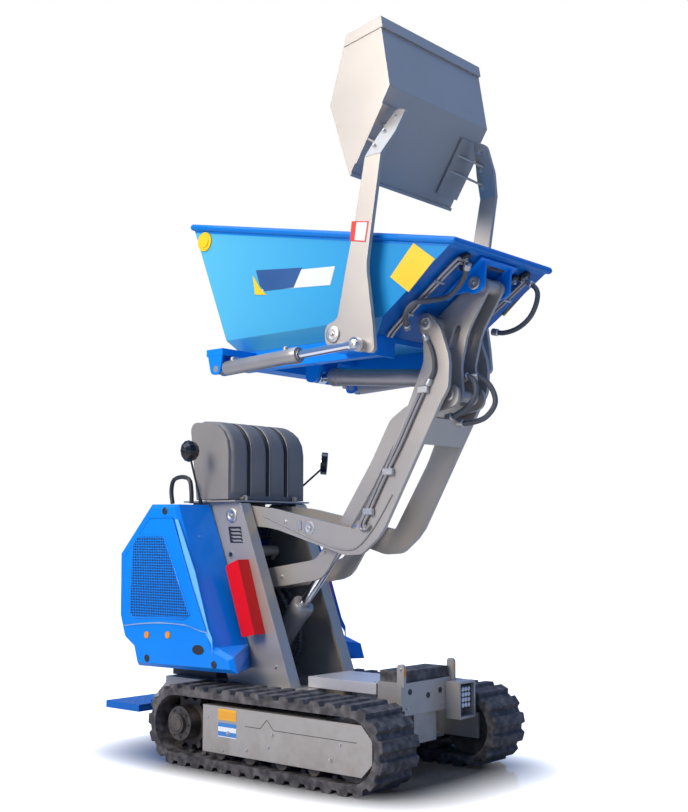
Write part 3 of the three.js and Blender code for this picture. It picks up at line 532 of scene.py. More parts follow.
def black_plastic(name, shade, rough):
    recipe = Recipe(name, {})
    grain = recipe.noise(600, 2)
    colour = recipe.blend(recipe.noise(12), tuple(c * 0.8 for c in shade) + (1,), shade + (1,))
    return recipe.feed(base_color=colour, roughness=rough + recipe.noise(30) * 0.12,
                       normal=recipe.bump(grain, 0.0003, 0.35, edge=0.0015))


black = black_plastic("black_paint", (0.022, 0.022, 0.024), 0.35)
amber = black_plastic("amber_plastic", (0.9, 0.3, 0.01), 0.25)
yellow = black_plastic("yellow_plastic", (0.95, 0.6, 0.004), 0.28)
paint(black, "headlamp")
paint(rubber, "rest_pad")


def lamp_glass():
    recipe = Recipe("lamp_glass", {"Roughness": 0.08, "Coat Weight": 1.0})
    ribs = recipe.node("ShaderNodeMath", {"operation": "SINE"}, {0: recipe.height(1) * 900.0})
    return recipe.feed(base_color=recipe.blend(ribs, (0.55, 0.57, 0.6, 1), (0.8, 0.82, 0.85, 1)))


def front_fittings():
    low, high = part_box("front_crossmember")
    lens_low, lens_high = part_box("headlamp")
    forward = np.array([1.0, 0, 0])
    dome = [(0, 0.0078), (0.002, 0.0074), (0.0035, 0.005), (0.004, 0.002)]
    domes = [turned(dome, (lens_high.x, y, z), forward, 20)
             for y in np.linspace(lens_low.y + 0.012, lens_high.y - 0.012, 3)
             for z in np.linspace(lens_low.z + 0.012, lens_high.z - 0.012, 4)]
    piece("lamp_lenses", domes, lamp_glass())
    face = 0.502
    # Black discs stand for the three holes: painted shade in their hollows.
    hole_shades = [turned([(0, 0.0095), (0.0012, 0.0095), (0.0012, 0.006)], (face, y, z), forward, 24)
             for y, z in ((-0.097, 0.282), (0.0, 0.263), (0.066, 0.273))]
    piece("crossmember_holes", hole_shades, black)
    bolts = []
    for y in (-0.112, 0.08):
        bolts += hex_bolt((face, y, 0.232), forward, 0.007, 0.005)
    for side in (-1, 1):
        bolts += hex_bolt((0.5, side * 0.142, 0.357), (0, side, 0), 0.007, 0.005)
    piece("crossmember_bolts", bolts, bolt_steel)
    labels = [block((0.512, y - 0.005, 0.334), (0.5128, y + 0.005, 0.36), 0.0002) for y in (-0.136, 0.136)]
    piece("lug_labels", labels, amber)
    box_low, box_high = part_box("deck_box")
    screws = []
    for x in (box_low.x + 0.02, box_high.x - 0.02):
        for y in (box_low.y + 0.018, box_high.y - 0.018):
            screws += hex_bolt((x, y, box_high.z), (0, 0, 1), 0.005, 0.004)
    piece("deck_screws", screws, bolt_steel)


front_fittings()


# Mast, and the engine between its uprights: painted plate with pins for the boom's and the
# arm's shafts. The engine is a dark block behind a guard, with a silencer, fan ring and hoses.

paint(grey, *sides("mast"))
paint(black, "engine_block")
pivot = {joint["name"]: joint.get("pos_m") for joint in frame["record"]["behaviour"]["joints"]}


def mast_fittings(side, name):
    """Pin plates with screws over the shafts, bolts, a framed vent with light slats over a black plate of
    painted shade, and a hole below it, as a black disc of painted shade.
    """
    face, out = outer_face(f"mast_{name}", side)
    shafts = []
    for joint in ("boom_lift", "lower_arm_pivot"):
        x, _, z = pivot[joint]
        shafts.append(pin_head((x, face, z), out, 0.026, 0.006))
        shafts += hex_bolt((x, face + side * 0.004, z), out, 0.009, 0.008)
    shafts += hex_bolt((-0.262, face, 0.6), out, 0.011, 0.007)
    hole_at = (-0.247, face, 0.712)
    rim = [(0, 0.012), (0.002, 0.012), (0.002, 0.0085), (0, 0.0085)]
    shafts.append(turned(rim, hole_at, out, 24, loop=True))
    shafts += hex_bolt((-0.02, face, 0.33), out, 0.009, 0.007)
    piece(f"mast_pins_{name}", shafts, bolt_steel)

    def panel(x0, x1, z0, z1, deep):
        outline = [(x0, z1), (x1, z1), (x1 + 0.012, z0), (x0 + 0.012, z0)]
        return plate(outline, *sorted((face, face + side * deep)), 0.0003)

    # Black disc in the hole and black plate behind the slats: painted shade.
    hole_shade = turned([(0, 0.0084), (0.001, 0.0084)], hole_at, out, 24)
    slats = [panel(-0.252 + k * 0.003, -0.206 + k * 0.003, 0.797 - k * 0.013, 0.804 - k * 0.013, 0.002)
             for k in range(4)]
    piece(f"mast_vent_slats_{name}", slats, grey)
    vent_shade_plate = panel(-0.262, -0.198, 0.754, 0.812, 0.0012)
    piece(f"mast_vent_shade_{name}", [vent_shade_plate, hole_shade], black)


for side, name in hands:
    mast_fittings(side, name)


def engine_fittings():
    """Guard slats over the block, a grey silencer tube in two lengths, a fan ring and two ribbed hoses."""
    low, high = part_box("engine_block")
    dark = []
    for z in np.arange(low.z + 0.06, high.z - 0.02, 0.018):
        dark.append(block((high.x, low.y + 0.02, z), (high.x + 0.014, high.y - 0.02, z + 0.006), 0.001))
    for y in np.arange(-0.108, 0.115, 0.018):
        dark.append(block((high.x + 0.018, y - 0.003, 0.765), (high.x + 0.024, y + 0.003, 0.885), 0.001))
    for z in (0.775, 0.81, 0.845, 0.88):
        dark.append(block((high.x + 0.016, -0.114, z - 0.003), (high.x + 0.026, 0.114, z + 0.003), 0.001))
    piece("engine_guard", dark, black)
    x, z = high.x + 0.046, 0.722
    silencer = [(0, 0.012), (0.002, 0.019), (0.132, 0.019), (0.134, 0.015), (0.14, 0.015), (0.142, 0.02),
                (0.226, 0.02), (0.23, 0.014)]
    elbow = curve_points([(x, 0.1, z), (x - 0.004, 0.112, z - 0.004), (x - 0.02, 0.113, z - 0.03)], 6)
    piece("silencer", [turned(silencer, (x, -0.116, z), (0, 1, 0), 32), tube(elbow, 0.009, 14)], grey)
    hoses = []
    for y, reach in ((0.083, 0.0), (0.105, 0.022)):
        knots = [(-0.315, 0.6), (-0.26 + reach, 0.575), (-0.205 + reach, 0.5), (-0.185 + reach, 0.41),
                 (-0.205 + reach, 0.335), (-0.26, 0.295)]
        path = curve_points(in_plane(knots, y), 26)
        hoses.append(tube(path, 0.0095 + 0.0018 * (np.arange(len(path)) % 4 < 2), 12))
    piece("ribbed_hoses", hoses, black_plastic("ribbed_hose", (0.09, 0.09, 0.095), 0.3),
          smooth=0.3)
    ring = [(0, 0.078), (0.006, 0.078), (0.006, 0.07), (0.001, 0.069)]
    piece("fan_ring", [turned(ring, (high.x + 0.016, 0.0, 0.42), (1, 0, 0), 40)], iron)


engine_fittings()


# Blue body: moulded side panels with a raised face, a mesh grille at the rear, and bolts
# at the corners. The paint is glossy azure under clear lacquer.


def gloss_blue(name, low, high):
    recipe = Recipe(name, {"Coat Weight": 0.3, "Coat Roughness": 0.05, "Specular IOR Level": 0.2})
    cloud = recipe.noise(3.5, 2)
    peel = recipe.noise(160, 1)
    colour = recipe.blend(cloud, low, high)
    return recipe.feed(base_color=colour, roughness=0.3 + cloud * 0.1,
                       normal=recipe.bump(peel, 0.00015, 0.2, edge=0.003))


def gloss_red():
    recipe = Recipe("gloss_red", {"Coat Weight": 0.25, "Coat Roughness": 0.1, "Specular IOR Level": 0.25})
    colour = recipe.blend(recipe.noise(6), (0.7, 0.003, 0.003, 1), (0.86, 0.006, 0.006, 1))
    return recipe.feed(base_color=colour, roughness=0.28 + recipe.noise(20) * 0.1,
                       normal=recipe.bump(recipe.noise(180), 0.00015, 0.2, edge=0.002))


# Light blue plastic for a painted glint along the side panels' crease.
crease_glint = black_plastic("white_edge", (0.3, 0.52, 0.8), 0.25)
blue = gloss_blue("gloss_blue", (0.0, 0.19, 0.72, 1), (0.0, 0.25, 0.84, 1))
# Paler blue for the painted highlight on the side panels' chamfer.
pale_blue = gloss_blue("pale_blue", (0.1, 0.4, 0.8, 1), (0.2, 0.52, 0.86, 1))
red = gloss_red()
paint(blue, *sides("side_panel"), "rear_panel")
paint(red, *sides("safety_prop"))
paint(grey, "console")


def inside_spans(outline, value, axis):
    """Where a straight wire crosses an outline: the sorted crossings along the other axis."""
    outline = np.asarray(outline, float)
    after = np.roll(outline, -1, axis=0)
    a, b = outline[:, axis], after[:, axis]
    hit = (a - value) * (b - value) < 0
    t = (value - a[hit]) / (b[hit] - a[hit])
    other = 1 - axis
    return np.sort(outline[hit, other] + t * (after[hit, other] - outline[hit, other]))


def oval(x, z, wide, high, steps):
    """Outline of an ellipse: (x + wide cos a, z + high sin a)."""
    angle = np.linspace(0, 2 * math.pi, steps, endpoint=False)
    return np.column_stack([x + wide * np.cos(angle), z + high * np.sin(angle)])


def panel_fittings(side, name):
    """Raised face as a thin plate, the grille as a dark sheet of painted shade under two layers of crossing
    wires.
    """
    skin_face, out = outer_face(f"side_panel_{name}", side)
    rise, pitch, half = 0.006, 0.0095, 0.0016
    raised = [(-0.486, 0.842), (-0.36, 0.842), (-0.25, 0.6), (-0.176, 0.45), (-0.215, 0.455), (-0.29, 0.47),
              (-0.424, 0.471), (-0.562, 0.46), (-0.616, 0.452), (-0.625, 0.5), (-0.627, 0.7)]
    window = [(-0.575, 0.745), (-0.545, 0.778), (-0.405, 0.778), (-0.262, 0.505), (-0.29, 0.49),
              (-0.424, 0.49), (-0.562, 0.483), (-0.584, 0.5)]
    face = skin_face + side * rise
    raised_plate = plate(raised, skin_face - side * 0.002, face, 0.005)
    piece(f"raised_face_{name}", [raised_plate], blue)
    # Black sheet behind the mesh: painted shade inside the panel.
    shade_backing = plate(window, face - side * 0.001, face + side * 0.0008, 0.001)
    piece(f"grille_shade_back_{name}", [shade_backing], black)
    wires = []
    for axis in (0, 1):
        values = np.arange(min(p[axis] for p in window) + 0.004, max(p[axis] for p in window), pitch)
        for value in values:
            spans = inside_spans(window, value, axis)
            if len(spans) < 2:
                continue
            a, b = spans[0], spans[-1]
            lo, hi = value - half, value + half
            strip = np.array([(lo, a), (hi, a), (hi, b), (lo, b)])
            if axis == 1:
                strip = np.array([(a, lo), (b, lo), (b, hi), (a, hi)])
            top = face + side * (0.0024, 0.0028)[axis]
            wires.append(plate(strip, face + side * 0.0004, top, 0.0005))
    wires.append(tube(in_plane(window + window[:1], face), 0.0035, 8))
    piece(f"grille_{name}", wires, blue)
    studs = [turned([(0, 0.013), (0.002, 0.013), (0.004, 0.009)], (x, skin_face, z), out, 24)
             for x, z in ((-0.407, 0.868), (-0.492, 0.342), (-0.142, 0.343))]
    # Black oval for the hole low on the panel: painted shade.
    hole_shade = oval(-0.223, 0.388, 0.03, 0.017, 28)
    studs.append(plate(hole_shade, skin_face - side * 0.001, skin_face + side * 0.001, 0.0005))
    piece(f"panel_studs_{name}", studs, black)
    # A paler blue strip along the panel's front chamfer: a painted highlight.
    chamfer_highlight = [(-0.352, 0.838), (-0.336, 0.838), (-0.243, 0.655), (-0.172, 0.462), (-0.152, 0.43),
               (-0.1495, 0.37), (-0.156, 0.41), (-0.186, 0.447), (-0.258, 0.6)]
    strip = plate(chamfer_highlight, skin_face - side * 0.001, skin_face + side * 0.0012, 0.0006)
    piece(f"panel_chamfer_highlight_{name}", [strip], pale_blue)
    # A light blue tube along the lower crease: a painted glint.
    glint_line = curve_points(in_plane(raised[3:9], skin_face + side * 0.001), 6)
    piece(f"panel_crease_glint_{name}", [tube(glint_line, 0.0035, 10)], crease_glint)


for side, name in hands:
    panel_fittings(side, name)


# Amber marks low on the side panels: round discs of moulded plastic, with no lettering.
# Each pair is pressed into the panel's lower band.

panel_face = 0.35
for side, name in hands:
    disc = [(0, 0.013), (0.003, 0.0125), (0.004, 0.009)]
    dots = [turned(disc, (x, side * panel_face, z), (0, side, 0), 28)
            for x, z in ((-0.494, 0.424), (-0.38, 0.43))]
    piece(f"amber_marks_{name}", dots, amber)


# Console and hood: a charcoal moulded hood with pressed bands covers the controls. It is
# hinged at the front. Behind it stand the driver's levers on the console tray.


def hood_plastic():
    recipe = Recipe("hood_plastic", {"Specular IOR Level": 0.4})
    grain = recipe.noise(520, 3)
    colour = recipe.blend(recipe.noise(8, 3), (0.2, 0.184, 0.17, 1), (0.28, 0.26, 0.24, 1))
    return recipe.feed(base_color=colour, roughness=0.42 + recipe.noise(14) * 0.14,
                       normal=recipe.bump(grain, 0.0004, 0.4, edge=0.006))


charcoal = hood_plastic()
paint(charcoal, "hood")


def arc_corner(before, corner, after, radius, steps):
    """Rounds one corner: points of the circle that touches both sides, from the first to the second."""
    before, corner, after = (np.asarray(p, float) for p in (before, corner, after))
    u = (before - corner) / np.linalg.norm(before - corner)
    v = (after - corner) / np.linalg.norm(after - corner)
    half = math.acos(float(np.dot(u, v))) / 2
    centre = corner + (u + v) / np.linalg.norm(u + v) * radius / math.sin(half)
    start = corner + u * radius / math.tan(half) - centre
    end = corner + v * radius / math.tan(half) - centre
    t = np.linspace(0, 1, steps)[:, None]
    swing = math.acos(float(np.dot(start, end)) / radius ** 2)
    return centre + (np.sin((1 - t) * swing) * start + np.sin(t * swing) * end) / math.sin(swing)


def hood_bands():
    """Pressed bands over front and top: the profile line, raised by a rounded hump across the width.

    Each is h(a) = 0.009 (1 - a^8) - 0.002 high over a from -1 to 1, and fades out at the line's two ends.
    The grooves between them are dark tubes along the same line, painted shade in the creases, each with a
    fine pale bead on its far side, a painted highlight.
    """
    front, bend = -0.238, 0.1076
    arc = arc_corner((front, 0.91), (front, 1.184), (-0.445, 1.2), bend, 22)
    line = np.vstack([[(front, z) for z in (0.925, 0.935, 0.945, 1.0)], arc,
                      [(-0.37, 1.1942), (-0.39, 1.1957), (-0.398, 1.1963), (-0.405, 1.1969)]])
    way = np.gradient(line, axis=0)
    way /= np.linalg.norm(way, axis=1)[:, None]
    normal = np.column_stack([way[:, 1], -way[:, 0]])
    across = np.linspace(-1, 1, 17)
    ends = np.clip(np.minimum(np.arange(len(line)), np.arange(len(line))[::-1]) / 2.0, 0, 1)
    hump = 0.009 * (1 - across ** 8)[None] * ends[:, None] - 0.002
    width, foot, crown = 0.0415, -0.003, 0.0055
    top = line[:, None] + normal[:, None] * hump[..., None]
    base = line[:, None] + normal[:, None] * np.full(hump.shape, foot)[..., None]
    bands = []
    for y in (-0.147, -0.049, 0.049, 0.147):
        ys = np.broadcast_to(y + width * across, hump.shape)
        upper = np.stack([top[..., 0], ys, top[..., 1]], -1)
        lower = np.stack([base[..., 0], ys, base[..., 1]], -1)[:, ::-1]
        bands.append(skin(np.concatenate([upper, lower], axis=1)))
    groove_shades, bead_highlights = [], []
    for y in (-0.098, 0.0, 0.098):
        groove_shades.append(tube(in_plane(line, y), 0.0062, 8))
        bead_highlights.append(tube(in_plane(line + normal * crown, y + 0.0078), 0.0016, 6))
    return bands, groove_shades, bead_highlights


# Dark tubes in the grooves are painted shade; the pale beads beside them are painted highlights.
hood_high, hood_groove_shades, hood_highlight_beads = hood_bands()
piece("hood_beads", hood_highlight_beads, grey, "hood")
piece("hood_bands", hood_high, charcoal, "hood", 0.6)
piece("hood_grooves", hood_groove_shades, black, "hood")


def levers():
    """Five control levers with ball knobs behind the hood, each leaning a little more than the last."""
    sticks, knobs = [], []
    angle = np.linspace(-1.45, 1.45, 9)
    ball = np.column_stack([0.013 * np.sin(angle), 0.013 * np.cos(angle)])
    for k, y in enumerate((-0.12, -0.07, -0.02, 0.06, 0.11)):
        foot = np.array([-0.44, y, 0.9075])
        top = foot + np.array([-0.018 - 0.003 * k, 0, 0.085])
        sticks.append(tube([foot, (foot + top) / 2, top], 0.0045, 10))
        knobs.append(turned(ball, top, (0, 0, 1), 20))
    piece("lever_sticks", sticks, bolt_steel)
    piece("lever_knobs", knobs, black)


levers()


# Grab handles and mirrors: bent black tube, and a glossy black moulded shell on a stalk
# with a round glass.

paint(black, *sides("grab_handle"))
paint(black_plastic("gloss_black", (0.012, 0.012, 0.014), 0.12), *sides("mirror"))


def mirror_glass():
    recipe = Recipe("mirror_glass", {"Metallic": 1.0, "Base Color": (0.75, 0.8, 0.85, 1)})
    return recipe.feed(roughness=0.03 + recipe.noise(20) * 0.04)


glass = mirror_glass()
for name, place, way in (("right", (-0.3521, -0.29, 1.084), (-1, 0, 0)),
                         ("left", (-0.2531, 0.3209, 1.063), (-0.766, -0.638, 0.085))):
    disc = turned([(0, 0.036), (0.0015, 0.0355)], place, way)
    piece(f"mirror_glass_{name}", [disc], glass)


# Folding driver platform: blue chequer plate with its edges turned down, hinged at the
# back of the chassis.

# The platform's blue is a darker copy of the body's blue: painted shade.
deep_blue = gloss_blue("deep_blue", (0.0, 0.11, 0.45, 1), (0.0, 0.14, 0.52, 1))
paint(deep_blue, "platform")


def platform_grip():
    """Raised lozenges in two alternating directions over the tread plate."""
    low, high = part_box("platform")
    top = pivot["platform_fold"][2] - 0.01
    parts = []
    for i, x in enumerate(np.arange(low.x + 0.02, high.x - 0.06, 0.022)):
        for j, y in enumerate(np.arange(low.y + 0.03, high.y - 0.02, 0.022)):
            turn = 0.6 if (i + j) % 2 else -0.6
            a = np.array([math.cos(turn), math.sin(turn)]) * 0.008
            b = np.array([-a[1], a[0]]) * 0.22
            c = np.array([x, y])
            ring = np.array([c - a, c - b, c + a, c + b])
            levels = [(top - 0.0005, 1.0), (top + 0.0008, 0.7)]
            grid = np.array([np.column_stack([c + (ring - c) * s, np.full(4, z)]) for z, s in levels])
            parts.append(skin(grid))
    return parts


piece("platform_grip", platform_grip(), deep_blue, "platform")


# Lifting linkage: boom, lower arm and coupler, flame-cut plates welded to round tubes.
# Pin heads with lock screws close each pivot, and steel pipes run along the boom.

paint(grey, "boom", "lower_arm", "coupler")


def linkage_pins():
    """Pin heads, lock screws and keeper plates on both faces of the boom, lower arm and coupler."""
    heads = {"boom": [], "lower_arm": [], "coupler": []}
    for side in (-1, 1):
        out = np.array([0, side, 0.0])
        x, _, z = pivot["coupler_pivot"]
        collar = [(0, 0.024), (0.004, 0.024), (0.006, 0.021), (0.006, 0.012), (0.003, 0.01)]
        boom_face = side * 0.117
        heads["boom"].append(turned(collar, (x, side * 0.123, z), out))
        heads["boom"] += hex_bolt((x, side * 0.124, z), out, 0.008, 0.007)
        heads["boom"] += hex_bolt((-0.03, boom_face, 0.83), out, 0.011, 0.0045)
        heads["boom"].append(pin_head((0.081, boom_face, 0.806), out, 0.024, 0.0025))
        heads["boom"] += hex_bolt((0.081, side * 0.118, 0.806), out, 0.012, 0.0035)
        keeper = side * 0.119
        heads["boom"].append(block((0.03, keeper - 0.002, 0.8), (0.046, keeper + 0.002, 0.832), 0.001))
        arm_face = side * 0.078
        for bolt_x, bolt_z in ((-0.084, 0.635), (0.119, 0.724)):
            heads["lower_arm"] += hex_bolt((bolt_x, arm_face, bolt_z), out, 0.01, 0.008)
        heads["lower_arm"].append(pin_head((0.168, arm_face, 0.792), out, 0.022, 0.006))
        heads["lower_arm"] += hex_bolt((0.168, side * 0.082, 0.792), out, 0.008, 0.007)
        heads["lower_arm"].append(pin_head((0.653, arm_face, 1.234), out, 0.02, 0.006))
        heads["coupler"].append(pin_head((0.573, side * 0.045, 1.3), out, 0.022, 0.006))
    for body, parts in heads.items():
        piece(f"{body}_pins", parts, bolt_steel, body)


linkage_pins()


# Hydraulic cylinders: honed barrels in grey paint with a screwed gland, and chromed rods.
# A smooth turned sleeve with two ports goes over each barrel, and a smooth skin over each rod.


def barrel_paint():
    recipe = Recipe("barrel_paint", {"Metallic": 0.5, "Coat Weight": 0.2})
    cloud = recipe.noise(14, 3)
    colour = recipe.blend(cloud, (0.3, 0.285, 0.275, 1), (0.4, 0.38, 0.365, 1))
    return recipe.feed(base_color=colour, roughness=0.32 + cloud * 0.16)


def chrome_plate():
    recipe = Recipe("chrome_plate", {"Metallic": 1.0, "Base Color": (0.78, 0.78, 0.8, 1)})
    scratches = recipe.noise(60, 3, (1, 1, 14))
    return recipe.feed(roughness=0.06 + scratches * 0.1)


silver = barrel_paint()
chrome = chrome_plate()
paint(silver, "lift_barrel", "tip_barrel", *sides("loader_barrel"))
paint(chrome, "lift_rod", "tip_rod", *sides("loader_rod"))


def cylinder_trim(name, base, eye, y, radius, rod, length, body, rod_body):
    """Smooth sleeve over a barrel with its gland rings, and a smooth rod skin up to the eye."""
    base = np.array([base[0], y, base[1]])
    eye = np.array([eye[0], y, eye[1]])
    way = (eye - base) / np.linalg.norm(eye - base)
    reach = float(np.linalg.norm(eye - base))
    sleeve = [(0.032, radius + 0.0002), (0.034, radius + 0.0012), (length - 0.038, radius + 0.0012),
              (length - 0.036, radius + 0.004), (length - 0.006, radius + 0.004), (length, radius + 0.001),
              (length + 0.0005, rod + 0.004), (length + 0.004, rod + 0.003), (length + 0.004, rod + 0.0016),
              (length - 0.0005, rod + 0.0016), (length - 0.0005, radius - 0.002), (0.04, radius - 0.002)]
    side_axis = np.cross(way, (0, 1, 0))
    port = [(radius - 0.001, 0.009), (radius + 0.008, 0.009), (radius + 0.012, 0.006)]
    ports = [turned(port, base + way * s, side_axis, 20) for s in (0.06, length - 0.06)]
    piece(f"{name}_sleeve", [turned(sleeve, base, way, 56, loop=True)] + ports, silver, body)
    skin_rod = [(length + 0.001, rod + 0.0006), (reach - rod - 0.006, rod + 0.0006)]
    collar = [(reach - rod - 0.012, rod * 1.05), (reach - rod - 0.01, rod * 1.3), (reach - rod, rod * 1.3)]
    skins = [turned(skin_rod, base, way, 48), turned(collar, base, way, 32)]
    piece(f"{name}_rod_skin", skins, chrome, rod_body)


cylinder_trim("lift", (-0.373, 0.156), (0.168, 0.792), 0.0, 0.038, 0.018, 0.5, "lift_barrel", "lift_rod")
cylinder_trim("tip", (0.573, 1.3), (0.026, 1.351), 0.0, 0.029, 0.015, 0.488, "tip_barrel", "tip_rod")
for side, name in hands:
    cylinder_trim(f"loader_{name}", (-0.112, 1.3525), (0.498, 1.378), side * 0.362, 0.024, 0.013, 0.37,
                  "loader_barrels", "loader_rods")


# Skip: folded blue sheet with a rolled rim, a yellow reflector on each side and a plain
# yellow label. The underframe and the tipping bracket are welded below it.


def skip_paint_with_painted_light():
    """Azure with painted light: paler towards the rear of the side walls, much darker on faces turned forward
    such as the front slope (painted shade), and a deeper blue on the rolled rim.
    """
    recipe = Recipe("skip_blue", {"Coat Weight": 0.3, "Coat Roughness": 0.05, "Specular IOR Level": 0.2})
    cloud = recipe.noise(3.5, 2)
    # Painted light: paler towards the rear; faces turned forward get a darker blue, painted shade.
    along = recipe.ramp(recipe.height(0), -0.3, 0.65)
    colour = recipe.blend(along, (0.1, 0.45, 0.64, 1), (0.005, 0.24, 0.56, 1))
    colour = recipe.blend(cloud * 0.3, colour, (0.02, 0.36, 0.62, 1))
    normal = recipe.node("ShaderNodeTexCoord", output="Normal")
    ahead = recipe.node("ShaderNodeSeparateXYZ", inputs={0: normal}, output=0)
    over_rim = recipe.height(2) + recipe.height(0) * 0.2039 - 1.8418
    rim = recipe.ramp(over_rim, -0.022, -0.018)
    deep = recipe.blend(rim, (0.0, 0.11, 0.42, 1), (0.0, 0.17, 0.58, 1))
    painted_shade_mask = 1 - (1 - recipe.ramp(ahead, 0.3, 0.5)) * (1 - rim)
    peel = recipe.noise(160, 1)
    return recipe.feed(base_color=recipe.blend(painted_shade_mask, colour, deep), roughness=0.3 + cloud * 0.1,
                       normal=recipe.bump(peel, 0.00015, 0.2, edge=0.003))


paint(skip_paint_with_painted_light(), "skip_tub")
paint(blue, "skip_frame", "skip_bracket")
label_white = black_plastic("label_white", (0.8, 0.82, 0.85), 0.3)
label_navy = black_plastic("label_navy", (0.02, 0.09, 0.26), 0.3)


def skip_side_point(x, z, side, out=0.001):
    """Point on a side wall of two flat planes: one falls away from the rim, one rises from the fold."""
    below_rim = (1.914 - 0.2039 * (x + 0.354) - z) * 0.98
    half = min(0.278 - 0.02007 * below_rim, 0.27 + 0.0396 * (z - 1.473))
    return np.array([x, side * (half + out), z])


def wall_patch(outline, side, thick):
    """Thin patch that lies on a side wall, from its outline [x, z]."""
    inner = np.array([skip_side_point(x, z, side, -0.001) for x, z in outline])
    outer = np.array([skip_side_point(x, z, side, thick) for x, z in outline])
    return skin(np.stack([inner, outer]))


for side, name in hands:
    discs = [wall_patch(oval(-0.292, 1.85, size, size, 40), side, thick)
             for size, thick in ((0.035, 0.005), (0.022, 0.008))]
    piece(f"side_reflector_{name}", discs, yellow, "skip")
    label = [(0.569, 1.597), (0.665, 1.691), (0.746, 1.628), (0.64, 1.539)]
    piece(f"side_label_{name}", [wall_patch(label, side, 0.0012)], yellow, "skip")
    for part, material, layer, band in (
            ("white", label_white, 0.0008, [(0.01, 1.69), (0.0, 1.63), (0.316, 1.606), (0.338, 1.666)]),
            ("navy", label_navy, 0.0014,
             [(-0.03, 1.706), (-0.012, 1.65), (0.01, 1.627), (0.15, 1.62), (0.19, 1.683)]),
            ("gold", yellow, 0.0018, [(-0.046, 1.69), (-0.035, 1.62), (0.02, 1.612), (-0.01, 1.64)])):
        piece(f"{part}_band_{name}", [wall_patch(band, side, layer)], material, "skip")


slope_way = np.array([0.345, 0, 0.245]) / 0.4231
slope_out = np.array([0.245, 0, -0.345]) / 0.4231
slope_foot = np.array([0.473, 0, 1.43])


def on_slope(along, y, out):
    """Point on the skip's front slope: foot + along * way + out * normal, at y."""
    return slope_foot + slope_way * along + slope_out * out + np.array([0, y, 0])


def skip_pipes():
    """Pairs of steel pipes down the front slope, with clips, and a dark valve plate at their tops."""
    pipes, dark, clips = [], [], []
    for side in (-1, 1):
        for k in range(2):
            y = 0.208 - 0.02 * k
            top = 0.372 - 0.012 * k
            stations = ((top, 0.165, 0.012), (top, y - 0.012, 0.012), (0.36 - 0.012 * k, y, 0.011),
                        (0.2, y - 0.005, 0.009), (0.05, y - 0.014, 0.009), (0.012, y - 0.016, 0.014))
            knots = [on_slope(along, side * across, out) for along, across, out in stations]
            pipes.append(tube(curve_points(knots, 8), 0.0055, 12))
        for along in (0.12, 0.27):
            a, b = on_slope(along, side * 0.217, 0.015), on_slope(along, side * 0.172, 0.015)
            clips.append(tube([a, (a + b) / 2, b], 0.0045, 8))
        for along, y in ((0.378, 0.175), (0.352, 0.135)):
            centre = on_slope(along, side * y, 0.001)
            dark.append(turned([(0, 0.022), (0.012, 0.022), (0.014, 0.018)], centre, slope_out, 6))
            clips += hex_bolt(centre + slope_out * 0.013, slope_out, 0.011, 0.012)
    piece("skip_pipes", pipes, silver, "skip")
    piece("skip_valves", dark, black, "skip")
    piece("skip_clips", clips, bolt_steel, "skip")


skip_pipes()


def bracket_fittings():
    """Pin heads on both faces of the tipping bracket, and a rubber block above its pin."""
    x, _, z = pivot["skip_tip"]
    parts = []
    for side in (-1, 1):
        out = np.array([0, side, 0.0])
        parts.append(pin_head((x, side * 0.079, z), out, 0.022, 0.006))
        parts += hex_bolt((x, side * 0.083, z), out, 0.009, 0.007)
    piece("bracket_pins", parts, bolt_steel, "skip")
    stop = block((x - 0.012, -0.055, z + 0.052), (x + 0.03, 0.055, z + 0.066), 0.003)
    piece("rubber_stop", [stop], rubber, "skip")


bracket_fittings()


# Loader arms and shovel: grey plate arms outside the skip, a folded plate shovel with a
# thick cutting strip, held by ribbed brackets. A red and white blank label marks each arm.

paint(grey, *sides("loader_arm"), "shovel")
label_red = black_plastic("label_red", (0.8, 0.03, 0.01), 0.3)


def loader_fittings(side, name):
    """Pivot pin, three bolts through the leaning top of the arm, a two-part label, and the rod's end clip."""
    arm_face, lean_from, lean_rate = 0.335, 1.988, 0.6
    out = np.array([0, side, 0.0])
    x, _, z = pivot["loader_swing"]
    parts = [pin_head((x, side * arm_face, z), out, 0.027, 0.008)]
    parts += hex_bolt((x, side * 0.341, z), out, 0.01, 0.008)
    lean = np.array([0, side, lean_rate]) / math.hypot(1, lean_rate)
    for bx, bz in ((0.539, 2.023), (0.554, 2.077), (0.572, 2.131)):
        inset = lean_rate * (bz - lean_from)
        parts += hex_bolt((bx, side * (arm_face - inset), bz), lean, 0.011, 0.008)
        parts += hex_bolt((bx, side * (0.32 - inset), bz), -lean, 0.013, 0.011)
    piece(f"loader_pins_{name}", parts, bolt_steel, "loader")
    whole = np.array([[0.452, 1.721], [0.518, 1.707], [0.531, 1.773], [0.46, 1.785]])

    def label_part(u0, u1, v0, v1):
        a, b, c, d = whole
        return [(a * (1 - u) + b * u) * (1 - v) + (d * (1 - u) + c * u) * v
                for u, v in ((u0, v0), (u1, v0), (u1, v1), (u0, v1))]

    for layer, (material, part) in enumerate(((label_red, label_part(0, 1, 0, 1)),
                                              (label_white, label_part(0.3, 0.93, 0.06, 0.94)))):
        patch = plate(part, side * arm_face, side * (0.3358 + 0.0005 * layer), 0.0003)
        piece(f"arm_label_{layer}_{name}", [patch], material, "loader")
    eye_x, eye_z = 0.498, 1.378
    clip = [turned([(0, 0.014), (0.005, 0.014), (0.006, 0.012)], (eye_x, side * 0.3735, eye_z), out, 28)]
    clip += hex_bolt((eye_x, side * 0.377, eye_z), out, 0.007, 0.006)
    piece(f"rod_clips_{name}", clip, bolt_steel, "loader_rods")


for side, name in hands:
    loader_fittings(side, name)


